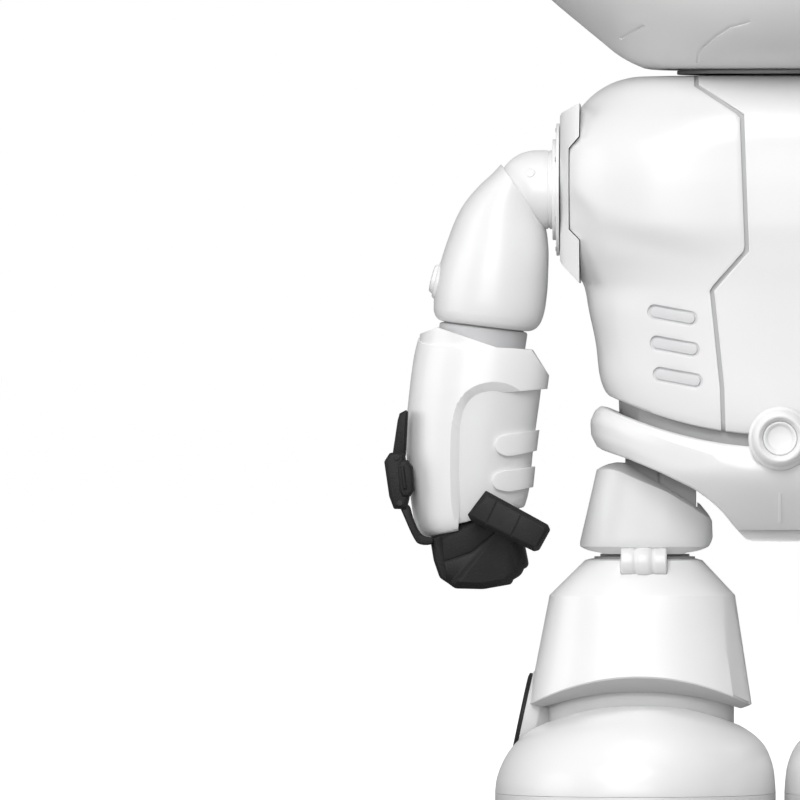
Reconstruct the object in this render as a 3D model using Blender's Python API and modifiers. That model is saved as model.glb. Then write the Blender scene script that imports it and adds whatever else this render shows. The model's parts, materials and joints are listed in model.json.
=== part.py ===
"""Humanoid robot kit: a 365 mm tall toy robot with a big rounded head, ball shoulders and boot feet.

The robot faces -Y, its right side is at -X, and it stands on Z = 0. Every number is in millimetres
until mesh_object scales it. The right arm and leg are modelled, and the left ones are their mirror.
"""

import math

import bmesh
import bpy
from mathutils import Matrix, Vector

MM = 0.001
GAP = 0.35            # running gap between touching pieces
PANEL_GAP = 1.0       # visible gap between neighbouring shells
WALL = 2.2            # moulded shell thickness
SEAM_GAP = 0.6        # gap between a front and a back shell
LOOP = 24             # points round a big shell
SMALL_LOOP = 12       # points round a limb

TOP_OF_TORSO = 245.7
NECK_RADIUS = 31.0
NECK_HOLE = 14.0
SHOULDER_Z = 211.6
BALL_X = -73.0
BALL_RADIUS = 12.2
ELBOW = Vector((-89.1, 0.0, 168.5))
ARM_TILT = math.radians(7.0)
BELT_DROP = 11.6      # how far the waist seam dips at the front and back
HIP = Vector((-35.8, 0.0, 119.5))
HIP_DRUM_RADIUS = 12.0
KNEE = Vector((-40.75, -15.0, 100.3))
KNEE_BEND = math.radians(20.0)
ANKLE = Vector((-42.5, 0.0, 44.0))
FOOT_X = -43.3
ANKLE_DISC = Vector((-79.2, 4.0, 51.5))
DISC_LEAN = math.radians(11.8)
BUCKLE_Z = 137.4
BUCKLE_Y = -41.4      # back of the buckle, on the front of the belt
VISOR_Z = 311.0
EYE_X = 27.0
EYE_SEAT_Y = -66.4
EAR_Z = 305.0
RING_X = -66.1        # inner face of the disc on the shoulder pod
THUMB_PIN = Vector((-88.0, -20.0, 113.6))
FINGER_BASE = Vector((-105.6, 0.0, 105.0))
KNUCKLE = Vector((-113.7, 0.0, 117.8))
UPRIGHT = Vector((0, 0, 1))
FOREARM_AXIS = Vector((math.sin(ARM_TILT), 0, math.cos(ARM_TILT)))
DISC_AXIS = Vector((-math.cos(DISC_LEAN), 0, math.sin(DISC_LEAN)))

# Each shell station is (height at the side, half width, half depth in front, half depth behind).
TORSO_STATIONS = [
    (149.6, 50.9, 33.0, 32.0), (156.0, 54.1, 34.6, 34.0), (166.0, 55.3, 35.3, 35.0),
    (184.0, 59.2, 38.6, 36.5), (195.0, 60.4, 41.4, 37.2), (208.0, 60.8, 42.4, 37.5),
    (224.0, 60.4, 41.0, 36.6), (236.0, 58.9, 37.6, 34.0), (242.5, 52.6, 32.6, 30.2),
    (245.6, 41.0, 25.5, 24.0),
]
TORSO_SQUARENESS = 2.6
# Plan of the swivel collar in the waist and of its pocket: half width, half depth in front and behind.
COLLAR = (49.4, 30.6, 29.8)
POCKET = (52.6, 37.0, 35.6)
HEAD_STATIONS = [
    (247.5, 37.5, 33.0, 33.0), (251.7, 48.2, 42.5, 42.5), (262.5, 61.5, 54.5, 54.0),
    (276.0, 76.2, 66.5, 66.0), (290.0, 84.6, 73.5, 73.5), (305.0, 87.0, 76.0, 76.0),
    (320.0, 85.2, 74.6, 74.6), (334.0, 78.6, 69.0, 69.0), (347.0, 66.2, 58.4, 58.4),
    (358.0, 46.0, 40.6, 40.6), (364.0, 20.0, 17.6, 17.6),
]
HEAD_SQUARENESS = 2.15
# Centres of the abdomen's three vents, as (distance from the centre line, height).
VENTS = [(32.2, 174.0), (31.5, 164.7), (30.6, 155.4)]
# Battery door in the back: centre and size of the block that it is cut from.
DOOR_CENTRE = (0, 36, 192)
DOOR_SIZE = (46, 20, 54)
# Seam between a chest plate and the centre panel, as (height, distance from the centre line).
CHEST_SEAM = [(120.0, 16.9), (140.0, 17.1), (181.3, 20.6), (193.0, 9.9), (233.6, 11.4), (242.5, 24.9),
              (260.0, 24.9)]


def lerp(a, b, t):
    return a + (b - a) * t


def sign_power(value, power):
    return math.copysign(abs(value) ** power, value)


def superellipse(half_x, front, back, squareness, start, end, count, closed=True):
    """Points of a rounded plan outline from angle start to end, counter-clockwise, seen from above."""
    steps = count if closed else count - 1
    points = []
    for i in range(count):
        angle = lerp(start, end, i / steps)
        x = half_x * sign_power(math.cos(angle), 2 / squareness)
        y = sign_power(math.sin(angle), 2 / squareness)
        points.append(Vector((x, y * (front if y < 0 else back), 0)))
    return points


def new_collection(name):
    collection = bpy.data.collections.new(name)
    bpy.context.scene.collection.children.link(collection)
    return collection


def make_material(name, colour, roughness, metallic=0.0):
    material = bpy.data.materials.new(name)
    material.use_nodes = True
    shader = material.node_tree.nodes["Principled BSDF"]
    shader.inputs["Base Color"].default_value = (*colour, 1.0)
    shader.inputs["Roughness"].default_value = roughness
    shader.inputs["Metallic"].default_value = metallic
    return material


def mesh_object(name, bm, material=None):
    """Turns a bmesh in millimetres into an object in metres. Without a material it is a cutter."""
    mesh = bpy.data.meshes.new(name)
    bm.to_mesh(mesh)
    bm.free()
    mesh.transform(Matrix.Scale(MM, 4))
    obj = bpy.data.objects.new(name, mesh)
    if material is None:
        CUTTERS.objects.link(obj)
        obj.hide_render = True
        obj.display_type = "WIRE"
    else:
        PARTS.objects.link(obj)
        mesh.materials.append(material)
    return obj


def grid_faces(bm, rows, closed):
    """Joins neighbouring rows of vertices with quads that face outwards."""
    for low, high in zip(rows, rows[1:]):
        count = len(low)
        for j in range(count if closed else count - 1):
            k = (j + 1) % count
            bm.faces.new((low[j], low[k], high[k], high[j]))


def cap_across(bm, row):
    """Closes a ring with strips that run from its front to its back, so a saddle-shaped ring closes well."""
    count = len(row)
    for j in range(count // 2):
        corners = (row[j], row[j + 1], row[(count - j - 1) % count], row[(count - j) % count])
        bm.faces.new(list(dict.fromkeys(corners)))


def loft(name, rings, material=None):
    """A closed solid through rings with the same even number of points, capped at both ends."""
    bm = bmesh.new()
    rows = [[bm.verts.new(p) for p in ring] for ring in rings]
    grid_faces(bm, rows, closed=True)
    cap_across(bm, rows[0])
    cap_across(bm, rows[-1])
    bmesh.ops.recalc_face_normals(bm, faces=bm.faces)
    return mesh_object(name, bm, material)


def open_shell(name, arcs, material, wall=WALL):
    """A moulded shell: an open surface thickened inwards."""
    bm = bmesh.new()
    grid_faces(bm, [[bm.verts.new(p) for p in arc] for arc in arcs], closed=False)
    obj = mesh_object(name, bm, material)
    solidify = obj.modifiers.new("wall", "SOLIDIFY")
    solidify.thickness = wall * MM
    solidify.offset = -1.0
    solidify.use_even_offset = False
    return obj


def prism(name, outline, axis, low, high, material=None):
    """A flat outline extruded along X or Y. The outline is (y, z) for X and (x, z) for Y."""
    bm = bmesh.new()
    corners = [Vector((low, a, b)) if axis == "X" else Vector((a, low, b)) for a, b in outline]
    face = bm.faces.new([bm.verts.new(c) for c in corners])
    grown = bmesh.ops.extrude_face_region(bm, geom=[face])
    way = Vector((high - low, 0, 0)) if axis == "X" else Vector((0, high - low, 0))
    moved = [v for v in grown["geom"] if isinstance(v, bmesh.types.BMVert)]
    bmesh.ops.translate(bm, vec=way, verts=moved)
    bmesh.ops.recalc_face_normals(bm, faces=bm.faces)
    return mesh_object(name, bm, material)


def box(name, centre, size, material=None, turn=None):
    bm = bmesh.new()
    bmesh.ops.create_cube(bm, size=1.0, matrix=Matrix.Diagonal((*size, 1.0)))
    if turn is not None:
        bmesh.ops.transform(bm, matrix=turn.to_4x4(), verts=bm.verts)
    bmesh.ops.translate(bm, vec=Vector(centre), verts=bm.verts)
    return mesh_object(name, bm, material)


def turned(name, profile, axis, centre, material=None, segments=SMALL_LOOP):
    """A turned piece: (radius, distance along the axis) pairs from one flat end to the other."""
    bm = bmesh.new()
    points = [(0.0, profile[-1][1]), *reversed(profile), (0.0, profile[0][1])]
    row = [bm.verts.new((radius, 0, along)) for radius, along in points]
    for a, b in zip(row, row[1:]):
        bm.edges.new((a, b))
    obj = mesh_object(name, bm, material)
    obj.location = Vector(centre) * MM
    obj.rotation_euler = Vector((0, 0, 1)).rotation_difference(Vector(axis)).to_euler()
    screw = obj.modifiers.new("turned", "SCREW")
    screw.steps = segments
    screw.render_steps = segments
    screw.use_merge_vertices = True
    screw.merge_threshold = 0.00001
    return obj


def boolean(obj, other, operation):
    modifier = obj.modifiers.new(operation.lower(), "BOOLEAN")
    modifier.operation = operation
    modifier.object = other
    modifier.solver = "EXACT"
    return obj


def cut(obj, *others):
    for other in others:
        boolean(obj, other, "DIFFERENCE")
    return obj


def keep(obj, other):
    return boolean(obj, other, "INTERSECT")


def join(obj, other):
    return boolean(obj, other, "UNION")


def round_edges(obj, width, segments=1, angle=35):
    bevel = obj.modifiers.new("rounded", "BEVEL")
    bevel.width = width * MM
    bevel.segments = segments
    bevel.limit_method = "ANGLE"
    bevel.angle_limit = math.radians(angle)
    return obj


# ---------------------------------------------------------------------------- torso

def waist_height(x, half_width, side_height):
    """The waist seam is highest at the sides and dips by BELT_DROP at the front and back."""
    fade = max(0.0, min(1.0, (185.0 - side_height) / (185.0 - TORSO_STATIONS[0][0])))
    return side_height - BELT_DROP * fade * (1 - min(1.0, abs(x) / half_width) ** 2)


def torso_arcs(start, end, shift):
    arcs = []
    for side_height, half_width, front, back in TORSO_STATIONS:
        arc = superellipse(half_width, front, back, TORSO_SQUARENESS, start, end, LOOP // 2 + 1, closed=False)
        for p in arc:
            p.z = waist_height(p.x, half_width, side_height)
            p.y += shift
        arcs.append(arc)
    hole = superellipse(NECK_HOLE, NECK_HOLE, NECK_HOLE, 2.0, start, end, LOOP // 2 + 1, closed=False)
    for p in hole:
        p.z = TOP_OF_TORSO
        p.y += shift
    return [*arcs, hole]


def seam_region(side, inset):
    """The front view of one chest plate: from the seam, moved outwards by inset, to far outside."""
    seam = [(side * (x + inset), z) for z, x in CHEST_SEAM]
    return [*seam, (side * 90.0, 260.0), (side * 90.0, 120.0)]


def panel_region(inset):
    right = [(-(x - inset), z) for z, x in CHEST_SEAM]
    left = [(x - inset, z) for z, x in reversed(CHEST_SEAM)]
    return [*right, *left]


def waist_ring(plan, lift):
    """A ring that follows the waist seam at a height above it."""
    ring = superellipse(*plan, TORSO_SQUARENESS, 0, 2 * math.pi, LOOP)
    for p in ring:
        p.z = TORSO_STATIONS[0][0] - BELT_DROP * (1 - (p.x / TORSO_STATIONS[0][1]) ** 2) + lift
    return ring


def slot_cutter(name, x, z, side):
    """A slanting vent pocket, cut square to the curved abdomen."""
    radius, half_run, depth = 2.3, 5.6, 1.1
    outline = []
    for i in range(12):
        angle = 2 * math.pi * (i + 0.5) / 12
        along = math.copysign(half_run, math.cos(angle)) + radius * math.cos(angle)
        outline.append((along, radius * math.sin(angle)))
    cutter = prism(name, outline, "Y", -8.0, depth)
    surface_y = -35.2 * (1 - (abs(x) / 55.8) ** TORSO_SQUARENESS) ** (1 / TORSO_SQUARENESS)
    dip = Matrix.Rotation(math.radians(side * 10.6), 4, "Y")
    yaw = Matrix.Rotation(math.radians(side * 17.6), 4, "Z")
    cutter.data.transform(Matrix.Translation(Vector((side * x, surface_y, z)) * MM) @ yaw @ dip)
    return cutter


def pod_outline(half_depth, low, high, corner):
    return [
        (-half_depth + corner, low), (half_depth - corner, low), (half_depth, low + corner),
        (half_depth, high - corner), (half_depth - corner, high), (-half_depth + corner, high),
        (-half_depth, high - corner), (-half_depth, low + corner),
    ]


def build_torso():
    front = torso_arcs(math.pi, 2 * math.pi, -SEAM_GAP / 2)
    back = open_shell("back_shell", torso_arcs(0, math.pi, SEAM_GAP / 2), WHITE)
    keep(open_shell("chest_center_panel", front, WHITE),
         prism("cut_panel", panel_region(PANEL_GAP / 2), "Y", -60, 5))
    cut_pods = []
    for side, word in ((-1, "right"), (1, "left")):
        hole = prism(f"cut_pod_{word}", pod_outline(27.6, 183.0, 238.2, 11.0), "X", side * 57.5, side * 75.0)
        cut_pods.append(hole)
        plate = keep(open_shell(f"chest_plate_{word}", front, WHITE),
                     prism(f"cut_plate_{word}", seam_region(side, PANEL_GAP / 2), "Y", -60, 5))
        cut(plate, hole)
        for i, (x, z) in enumerate(VENTS):
            cut(plate, slot_cutter(f"cut_slot_{word}_{i}", x, z, side))
    width, depth, height = DOOR_SIZE
    cut(back, *cut_pods, box("cut_door", DOOR_CENTRE, (width + PANEL_GAP, depth, height + PANEL_GAP)))
    keep(open_shell("battery_door", torso_arcs(0, math.pi, SEAM_GAP / 2), WHITE),
         box("cut_door_inner", DOOR_CENTRE, DOOR_SIZE))
    collar = loft("waist_collar", [waist_ring(COLLAR, -5.6), waist_ring(COLLAR, -0.6)], GREY)
    cut(collar, box("cut_collar", (0, 0, 140), (52, 32, 60)))
    box("torso_frame", (0, -6, 192), (44, 22, 74), GREY)
    box("battery_pack", (0, 17.5, 192), (40, 22, 50), GREY)
    box("control_board", (0, -22, 196), (46, 1.6, 56), GREEN)


def build_shoulder_mount():
    """The pod on the torso's side and the stepped disc that the arm turns against."""
    pod = loft("shoulder_pod_right", [
        [Vector((-57.9, y, z)) for y, z in pod_outline(27.0, 183.6, 237.6, 11.0)],
        [Vector((-60.4, y, z)) for y, z in pod_outline(27.0, 183.6, 237.6, 11.0)],
        [Vector((-65.8, y, z)) for y, z in pod_outline(21.5, 189.3, 233.9, 9.0)],
    ], WHITE)
    cut(pod, prism("cut_notch", [(-70, 223.7), (-58, 227), (-58, 196.4), (-70, 199.7)], "Y", -40, -24.0))
    cut(pod, turned("cut_pod_bore", [(5.0, 0), (5.0, 30)], (-1, 0, 0), (-50, 0, SHOULDER_Z)))
    ring = turned("shoulder_ring_right", [(19.8, 0), (19.8, 0.85), (15.1, 0.86), (15.1, 2.1)],
                  (-1, 0, 0), (RING_X, 0, SHOULDER_Z), WHITE, LOOP)
    cut(ring, turned("cut_ring_bore", [(5.0, 0), (5.0, 30)], (-1, 0, 0), (-55, 0, SHOULDER_Z)))


# ---------------------------------------------------------------------------- head

def head_arcs(start, end, shift, shrink=0.0):
    arcs = []
    stations = [(247.5, 12.0, 12.0, 12.0), *HEAD_STATIONS]
    for height, half_width, front, back in stations:
        arc = superellipse(half_width - shrink, front - shrink, back - shrink, HEAD_SQUARENESS,
                           start, end, LOOP // 2 + 1, closed=False)
        for p in arc:
            p.z = height
            p.y += shift
        arcs.append(arc)
    tip = [Vector((p.x * 0.02, p.y * 0.02, 365.0)) for p in arcs[-1]]
    return [*arcs, tip]


def visor_outline(inset):
    """Rounded visor outline in front view, round a centre at VISOR_Z."""
    points = superellipse(62.0 - inset, 30.0 - inset, 30.0 - inset, 3.4, 0, 2 * math.pi, 32)
    return [(p.x, p.y + VISOR_Z) for p in points]


def build_head():
    front = head_arcs(math.pi, 2 * math.pi, -SEAM_GAP / 2)
    shell = open_shell("head_front_shell", front, WHITE)
    cut(shell, prism("cut_visor", visor_outline(0.0), "Y", -90, -20))
    visor = keep(open_shell("face_visor", front, BLACK_GLOSS),
                 prism("cut_visor_inner", visor_outline(0.6), "Y", -90, -20))
    open_shell("head_back_shell", head_arcs(0, math.pi, SEAM_GAP / 2), WHITE)
    for side, word in ((-1, "right"), (1, "left")):
        cut(visor, turned(f"cut_eye_{word}", [(9.4, 0), (9.4, 30)], (0, -1, 0), (side * EYE_X, -58, VISOR_Z)))
        turned(f"eye_{word}", [(9.0, 0), (9.0, 6.0), (7.4, 7.6), (4.0, 8.6)], (0, -1, 0),
               (side * EYE_X, EYE_SEAT_Y, VISOR_Z), LENS)
        turned(f"ear_disc_{word}", [(20.0, 0), (20.0, 3.5), (16.5, 5.5), (15.0, 5.5), (12.5, 4.3)],
               (side, 0, 0), (side * 87.4, 0, EAR_Z), WHITE)
    turned("neck_swivel", [(12.5, -16), (12.5, 0.4), (NECK_RADIUS, 0.41), (NECK_RADIUS, 1.5)], UPRIGHT,
           (0, 0, TOP_OF_TORSO), DARK, LOOP)


# ---------------------------------------------------------------------------- pelvis

def belt_top(x):
    return 134.3 + BELT_DROP * (min(abs(x), 54.0) / 51.4) ** 2


def belt_bottom(x):
    """Underside of the pelvis in front view: flat crotch, hip arches, then the belt's lower edge."""
    stations = [(0.0, 106.3), (10.0, 106.7), (14.1, 110.9), (20.1, 118.2), (25.6, 122.4), (36.2, 127.4),
                (46.3, 131.5), (54.5, 134.0), (58.0, 135.0)]
    distance = abs(x)
    for (x0, z0), (x1, z1) in zip(stations, stations[1:]):
        if distance <= x1:
            return lerp(z0, z1, (distance - x0) / (x1 - x0))
    return stations[-1][1]


def pelvis_ring(level):
    """A ring of the pelvis at a level from 0, the underside, to 1, the belt's top edge."""
    if level < 0.7:
        half_width = lerp(55.4, 56.6, min(1.0, level / 0.3))
    else:
        half_width = lerp(56.6, 53.8, (level - 0.7) / 0.3)
    ring = superellipse(half_width, 41.0, 38.5, 2.5, 0, 2 * math.pi, 2 * LOOP)
    for p in ring:
        low, high = belt_bottom(p.x), belt_top(p.x)
        p.z = lerp(low, high, level)
        tuck = max(0.0, (127.0 - p.z) / (127.0 - 106.3))
        p.y *= 1 - 0.42 * tuck ** 1.4
        if level > 0.7:
            p.y *= lerp(1.0, 0.965, (level - 0.7) / 0.3)
    return ring


def build_pelvis():
    pelvis = loft("pelvis_shell", [pelvis_ring(level) for level in (0.0, 0.3, 0.7, 1.0)], WHITE)
    cut(pelvis, loft("cut_pocket", [waist_ring(POCKET, -6.9), waist_ring(POCKET, 9.0)]))
    for side in (-1, 1):
        socket = [(HIP_DRUM_RADIUS + 0.6, -11.4), (HIP_DRUM_RADIUS + 0.6, 11.4)]
        cut(pelvis, turned(f"cut_socket_{side}", socket, (1, 0, 0), (side * -HIP.x, 0, HIP.z)))
    buckle = turned("buckle_ring", [(9.0, 0.0), (9.4, 0.6), (9.4, 3.2), (8.4, 5.0), (7.0, 5.4), (5.4, 4.2)],
                    (0, -1, 0), (0, BUCKLE_Y, BUCKLE_Z), WHITE, LOOP)
    cut(buckle, turned("cut_buckle_bore", [(4.6, -3), (4.6, 12)], (0, -1, 0), (0, BUCKLE_Y, BUCKLE_Z)))
    turned("power_button", [(4.1, 1.5), (4.1, 2.6), (3.4, 3.2)], (0, -1, 0), (0, BUCKLE_Y, BUCKLE_Z), WHITE)


# ---------------------------------------------------------------------------- arm

def arm_point(across, forward, along):
    """A point in the tilted forearm's own axes: across to the body, forward, and up from the elbow."""
    right = Vector((math.cos(ARM_TILT), 0, -math.sin(ARM_TILT)))
    up = Vector((math.sin(ARM_TILT), 0, math.cos(ARM_TILT)))
    return ELBOW + right * across + Vector((0, -forward, 0)) + up * along


def arm_ring(left, right, half_depth, along, squareness=3.0, count=SMALL_LOOP, slope=0.0):
    ring = superellipse((right - left) / 2, half_depth, half_depth, squareness, 0, 2 * math.pi, count)
    middle = (left + right) / 2
    return [arm_point(middle + p.x, -p.y, along + slope * p.x) for p in ring]


def build_upper_arm():
    axle = [(4.6, -14.0), (4.6, 4.5)]
    ball = [(math.sqrt(BALL_RADIUS ** 2 - a * a), a + 9.1) for a in (-4.4, -1.5, 2.0, 5.5, 8.6, 10.9, 11.9)]
    turned("shoulder_ball_right", [*axle, *ball], (-1, 0, 0), (BALL_X + 9.1, 0, SHOULDER_Z), WHITE)
    # (height, outer x, inner x, half depth)
    stations = [(217.6, -84.6, -82.2, 1.2), (215.8, -87.6, -79.0, 6.0), (212.6, -90.9, -75.2, 10.4),
                (208.0, -94.4, -71.8, 13.2), (202.5, -97.5, -70.0, 15.0), (196.0, -100.2, -69.5, 16.2),
                (188.0, -102.2, -69.4, 16.8), (180.0, -103.7, -69.9, 16.8), (175.0, -104.0, -70.9, 16.2),
                (171.6, -102.6, -73.2, 14.4)]
    rings = []
    for height, outer, inner, half_depth in reversed(stations):
        middle, half = (outer + inner) / 2, (inner - outer) / 2
        slant = -0.12 * max(0.0, min(1.0, (188.0 - height) / 14.0))
        ring = superellipse(half, half_depth, half_depth, 2.25, 0, 2 * math.pi, SMALL_LOOP)
        rings.append([Vector((middle + p.x, p.y, height + slant * p.x)) for p in ring])
    arm = loft("upper_arm_right", rings, WHITE)
    cut(arm, turned("cut_socket", [(math.sqrt(max(0.01, 12.7 ** 2 - a * a)), a)
                                   for a in (-12.69, -11, -8, -4, 0, 4, 8, 11, 12.69)],
                    (-1, 0, 0), (BALL_X, 0, SHOULDER_Z)))
    cut(arm, turned("cut_elbow_well", [(12.0, -6), (12.0, 16)],
                    FOREARM_AXIS, arm_point(0, 0, 3)))
    turned("elbow_cap_right", [(5.6, 0), (5.6, 1.6), (4.6, 2.4), (2.6, 2.4)],
           (-math.cos(math.radians(14)), 0, math.sin(math.radians(14))), (-103.8, 0, 184.6), WHITE)
    turned("elbow_neck_right", [(13.2, -4.0), (13.2, 1.0), (11.4, 1.6), (11.4, 14.0)],
           FOREARM_AXIS, ELBOW, GREY)


def gauntlet_region():
    """Front view of the forearm's open inner side, in forearm axes: (across, along)."""
    return [(40.0, -10.6), (20.7, -10.9), (9.3, -13.0), (1.5, -15.6), (-2.7, -18.9), (-5.0, -23.0),
            (-5.6, -29.0), (-5.0, -40.0), (-3.8, -70.0), (40.0, -70.0)]


def build_forearm():
    core = loft("forearm_core_right", [
        arm_ring(-10.4, 17.6, 11.5, -58.0), arm_ring(-13.9, 20.2, 14.0, -54.0),
        arm_ring(-17.0, 20.4, 14.6, -30.0), arm_ring(-16.6, 19.6, 14.4, -9.0),
        arm_ring(-14.0, 15.0, 11.5, -6.5),
    ], WHITE)
    for low in (-45.0, -34.2):
        rib = box(f"cut_rib_{int(-low)}", arm_point(14.6, 0, low + 2.4), (13.8, 31.6, 5.9),
                  turn=Matrix.Rotation(ARM_TILT - math.radians(14), 3, "Y"))
        join(core, rib)
    shell = loft("forearm_shell_right", [
        arm_ring(-8.0, 12.0, 11.0, -63.2), arm_ring(-12.8, 17.0, 14.4, -59.0),
        arm_ring(-16.6, 19.6, 16.4, -48.0),
        arm_ring(-19.2, 20.4, 17.2, -33.0), arm_ring(-19.7, 20.7, 17.4, -20.0),
        arm_ring(-19.6, 20.9, 17.3, -10.0),
        arm_ring(-19.0, 15.4, 14.6, -4.6),
    ], WHITE)
    hollow = loft("cut_gauntlet", [
        arm_ring(-6.0, 10.0, 9.0, -66.0), arm_ring(-11.0, 18.4, 12.5, -59.5),
        arm_ring(-14.4, 20.7, 14.4, -54.0),
        arm_ring(-17.4, 20.9, 15.0, -30.0), arm_ring(-17.0, 20.0, 14.8, -9.0),
        arm_ring(-13.6, 13.6, 12.0, -2.0),
    ])
    cut(shell, hollow)
    open_side = prism("cut_open_side", gauntlet_region(), "Y", -30, 30)
    tilt = Matrix.Translation(ELBOW * MM) @ Matrix.Rotation(ARM_TILT, 4, "Y")
    open_side.data.transform(tilt)
    cut(shell, open_side)
    join(bpy.data.objects["elbow_neck_right"], turned("cut_post", [(4, -14), (4, -2)], FOREARM_AXIS, ELBOW))
    cut(core, turned("cut_post_bore", [(4.4, -30), (4.4, -2)], FOREARM_AXIS, ELBOW))


def build_hand():
    loft("palm_right", [
        arm_ring(0.6, 15.0, 7.5, -76.6, 4.0, slope=0.10),
        arm_ring(-3.6, 19.4, 10.5, -73.6, 4.0, slope=0.08),
        arm_ring(-6.2, 21.0, 11.4, -67.4, 4.0), arm_ring(-6.4, 20.0, 11.0, -64.4, 4.0),
        arm_ring(-2.0, 17.6, 8.0, -58.6, 4.0),
    ], BLACK)
    thumb = box("thumb_right", (-80.4, -21.6, 112.4), (22.6, 6.6, 10.8), BLACK,
                Matrix.Rotation(math.radians(28), 3, "Y"))
    round_edges(thumb, 1.4)
    pin = turned("cut_thumb_pin", [(2.4, 0), (2.4, 8.0)], (0, 1, 0), THUMB_PIN)
    join(thumb, pin)
    cut(bpy.data.objects["forearm_core_right"],
        turned("cut_pin_bore", [(2.8, 0), (2.8, 12.0)], (0, 1, 0), THUMB_PIN))
    link_outline = [(-104.6, 103.4), (-107.6, 103.9), (-109.9, 106.0), (-114.6, 116.6), (-112.2, 117.4),
                    (-110.6, 112.6), (-107.6, 107.0), (-104.6, 105.9)]
    link = prism("finger_link_right", link_outline, "Y", -16.0, -7.0, BLACK)
    tip = box("finger_tip_right", (-113.9, -11.5, 125.7), (8.0, 11.0, 14.2), BLACK,
              Matrix.Rotation(math.radians(-8.5), 3, "Y"))
    round_edges(tip, 1.2)
    point_outline = [(-117.0, 131.0), (-112.9, 131.0), (-112.6, 145.0), (-114.0, 145.6), (-115.4, 142.0)]
    join(tip, prism("cut_point", point_outline, "Y", -15.0, -8.0))
    room = loft("cut_arm_room", [
        arm_ring(-8.6, 12.0, 11.6, -63.8), arm_ring(-13.4, 17.0, 15.0, -59.2),
        arm_ring(-17.2, 19.6, 17.0, -48.2),
        arm_ring(-19.8, 20.4, 17.8, -33.0), arm_ring(-20.3, 20.7, 18.0, -20.0),
    ])
    cut(tip, room)
    cut(link, room)


# ---------------------------------------------------------------------------- leg

def plan_ring(middle, half_width, half_depth, height, squareness=3.2, count=SMALL_LOOP, shift=0.0):
    ring = superellipse(half_width, half_depth, half_depth, squareness, 0, 2 * math.pi, count)
    height_at = height if callable(height) else lambda x: height
    return [Vector((middle + p.x, shift + p.y, height_at(middle + p.x))) for p in ring]


def thigh_top(x):
    """Slanting top of the thigh, which follows the hip arch."""
    return 129.4 if x < -47.5 else lerp(129.4, 116.2, (x + 47.5) / 25.0)


def build_thigh():
    turned("hip_drum_right", [(HIP_DRUM_RADIUS, -10.6), (HIP_DRUM_RADIUS, 10.6)], (1, 0, 0), HIP, DARK)
    thigh = loft("thigh_right", [
        plan_ring(-40.8, 18.0, 15.0, 102.4), plan_ring(-40.4, 20.0, 17.2, 104.9),
        plan_ring(-39.0, 18.6, 17.2, lambda x: thigh_top(x) - 2.9), plan_ring(-38.0, 15.4, 13.0, thigh_top),
    ], WHITE)
    cut(thigh, turned("cut_hip_well", [(HIP_DRUM_RADIUS + GAP, -10.95), (HIP_DRUM_RADIUS + GAP, 10.95)],
                      (1, 0, 0), HIP))
    start, reach = KNEE.y + 3.0, 40.0
    raised = 102.6 + (reach - start) * math.tan(KNEE_BEND)
    wedge = [(start, 102.6), (reach, raised), (reach, 90.0), (start, 90.0)]
    cut(thigh, prism("cut_knee_relief", wedge, "X", -80, 0))
    turned("knee_hinge_right", [(4.3, -6.8), (4.3, -2.2), (4.7, -1.6), (4.7, 1.6), (4.3, 2.2), (4.3, 6.8)],
           (1, 0, 0), KNEE, WHITE)
    cut(thigh, turned("cut_hinge_seat", [(5.0, -7.2), (5.0, 7.2)], (1, 0, 0), KNEE))


def cuff_height(x, centre_z, side_z):
    return lerp(centre_z, side_z, min(1.0, abs(x + 42.0) / 33.4) ** 2)


def build_shin():
    rings = [
        plan_ring(-42.0, 31.4, 24.6, lambda x: cuff_height(x, 61.4, 50.6), count=LOOP),
        plan_ring(-42.0, 33.6, 27.2, lambda x: cuff_height(x, 66.1, 54.6), count=LOOP),
        plan_ring(-41.6, 30.6, 24.8, 76.0, count=LOOP),
        plan_ring(-41.2, 27.8, 22.4, 90.0, count=LOOP),
        plan_ring(-40.9, 15.8, 13.6, 101.0, count=LOOP),
    ]
    shin = loft("shin_right", rings, WHITE)
    cut(shin, turned("cut_shin_seat", [(5.0, -7.2), (5.0, 7.2)], (1, 0, 0), KNEE))
    cut(shin, loft("cut_shin_hollow", [
        plan_ring(-42.0, 31.4, 24.8, 48.0), plan_ring(-42.0, 30.4, 23.9, 64.0),
        plan_ring(-41.4, 24.0, 18.6, 84.0),
    ]))
    loft("ankle_core_right", [
        plan_ring(-42.0, 24.0, 16.0, 36.0), plan_ring(-42.0, 29.2, 22.4, 42.0),
        plan_ring(-42.0, 30.0, 23.5, 62.5), plan_ring(-41.6, 23.4, 18.0, 83.5),
    ], GREY)
    turned("ankle_disc_right", [(6.0, -2.6), (6.0, -0.9), (15.0, -0.8), (15.0, 0.2), (13.4, 0.8)],
           DISC_AXIS, ANKLE_DISC, BLACK, LOOP)


def foot_ring(half_width, front, back, height, squareness=2.5):
    ring = superellipse(half_width, front, back, squareness, 0, 2 * math.pi, LOOP)
    return [Vector((FOOT_X + p.x, p.y - 6.0, height)) for p in ring]


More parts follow.
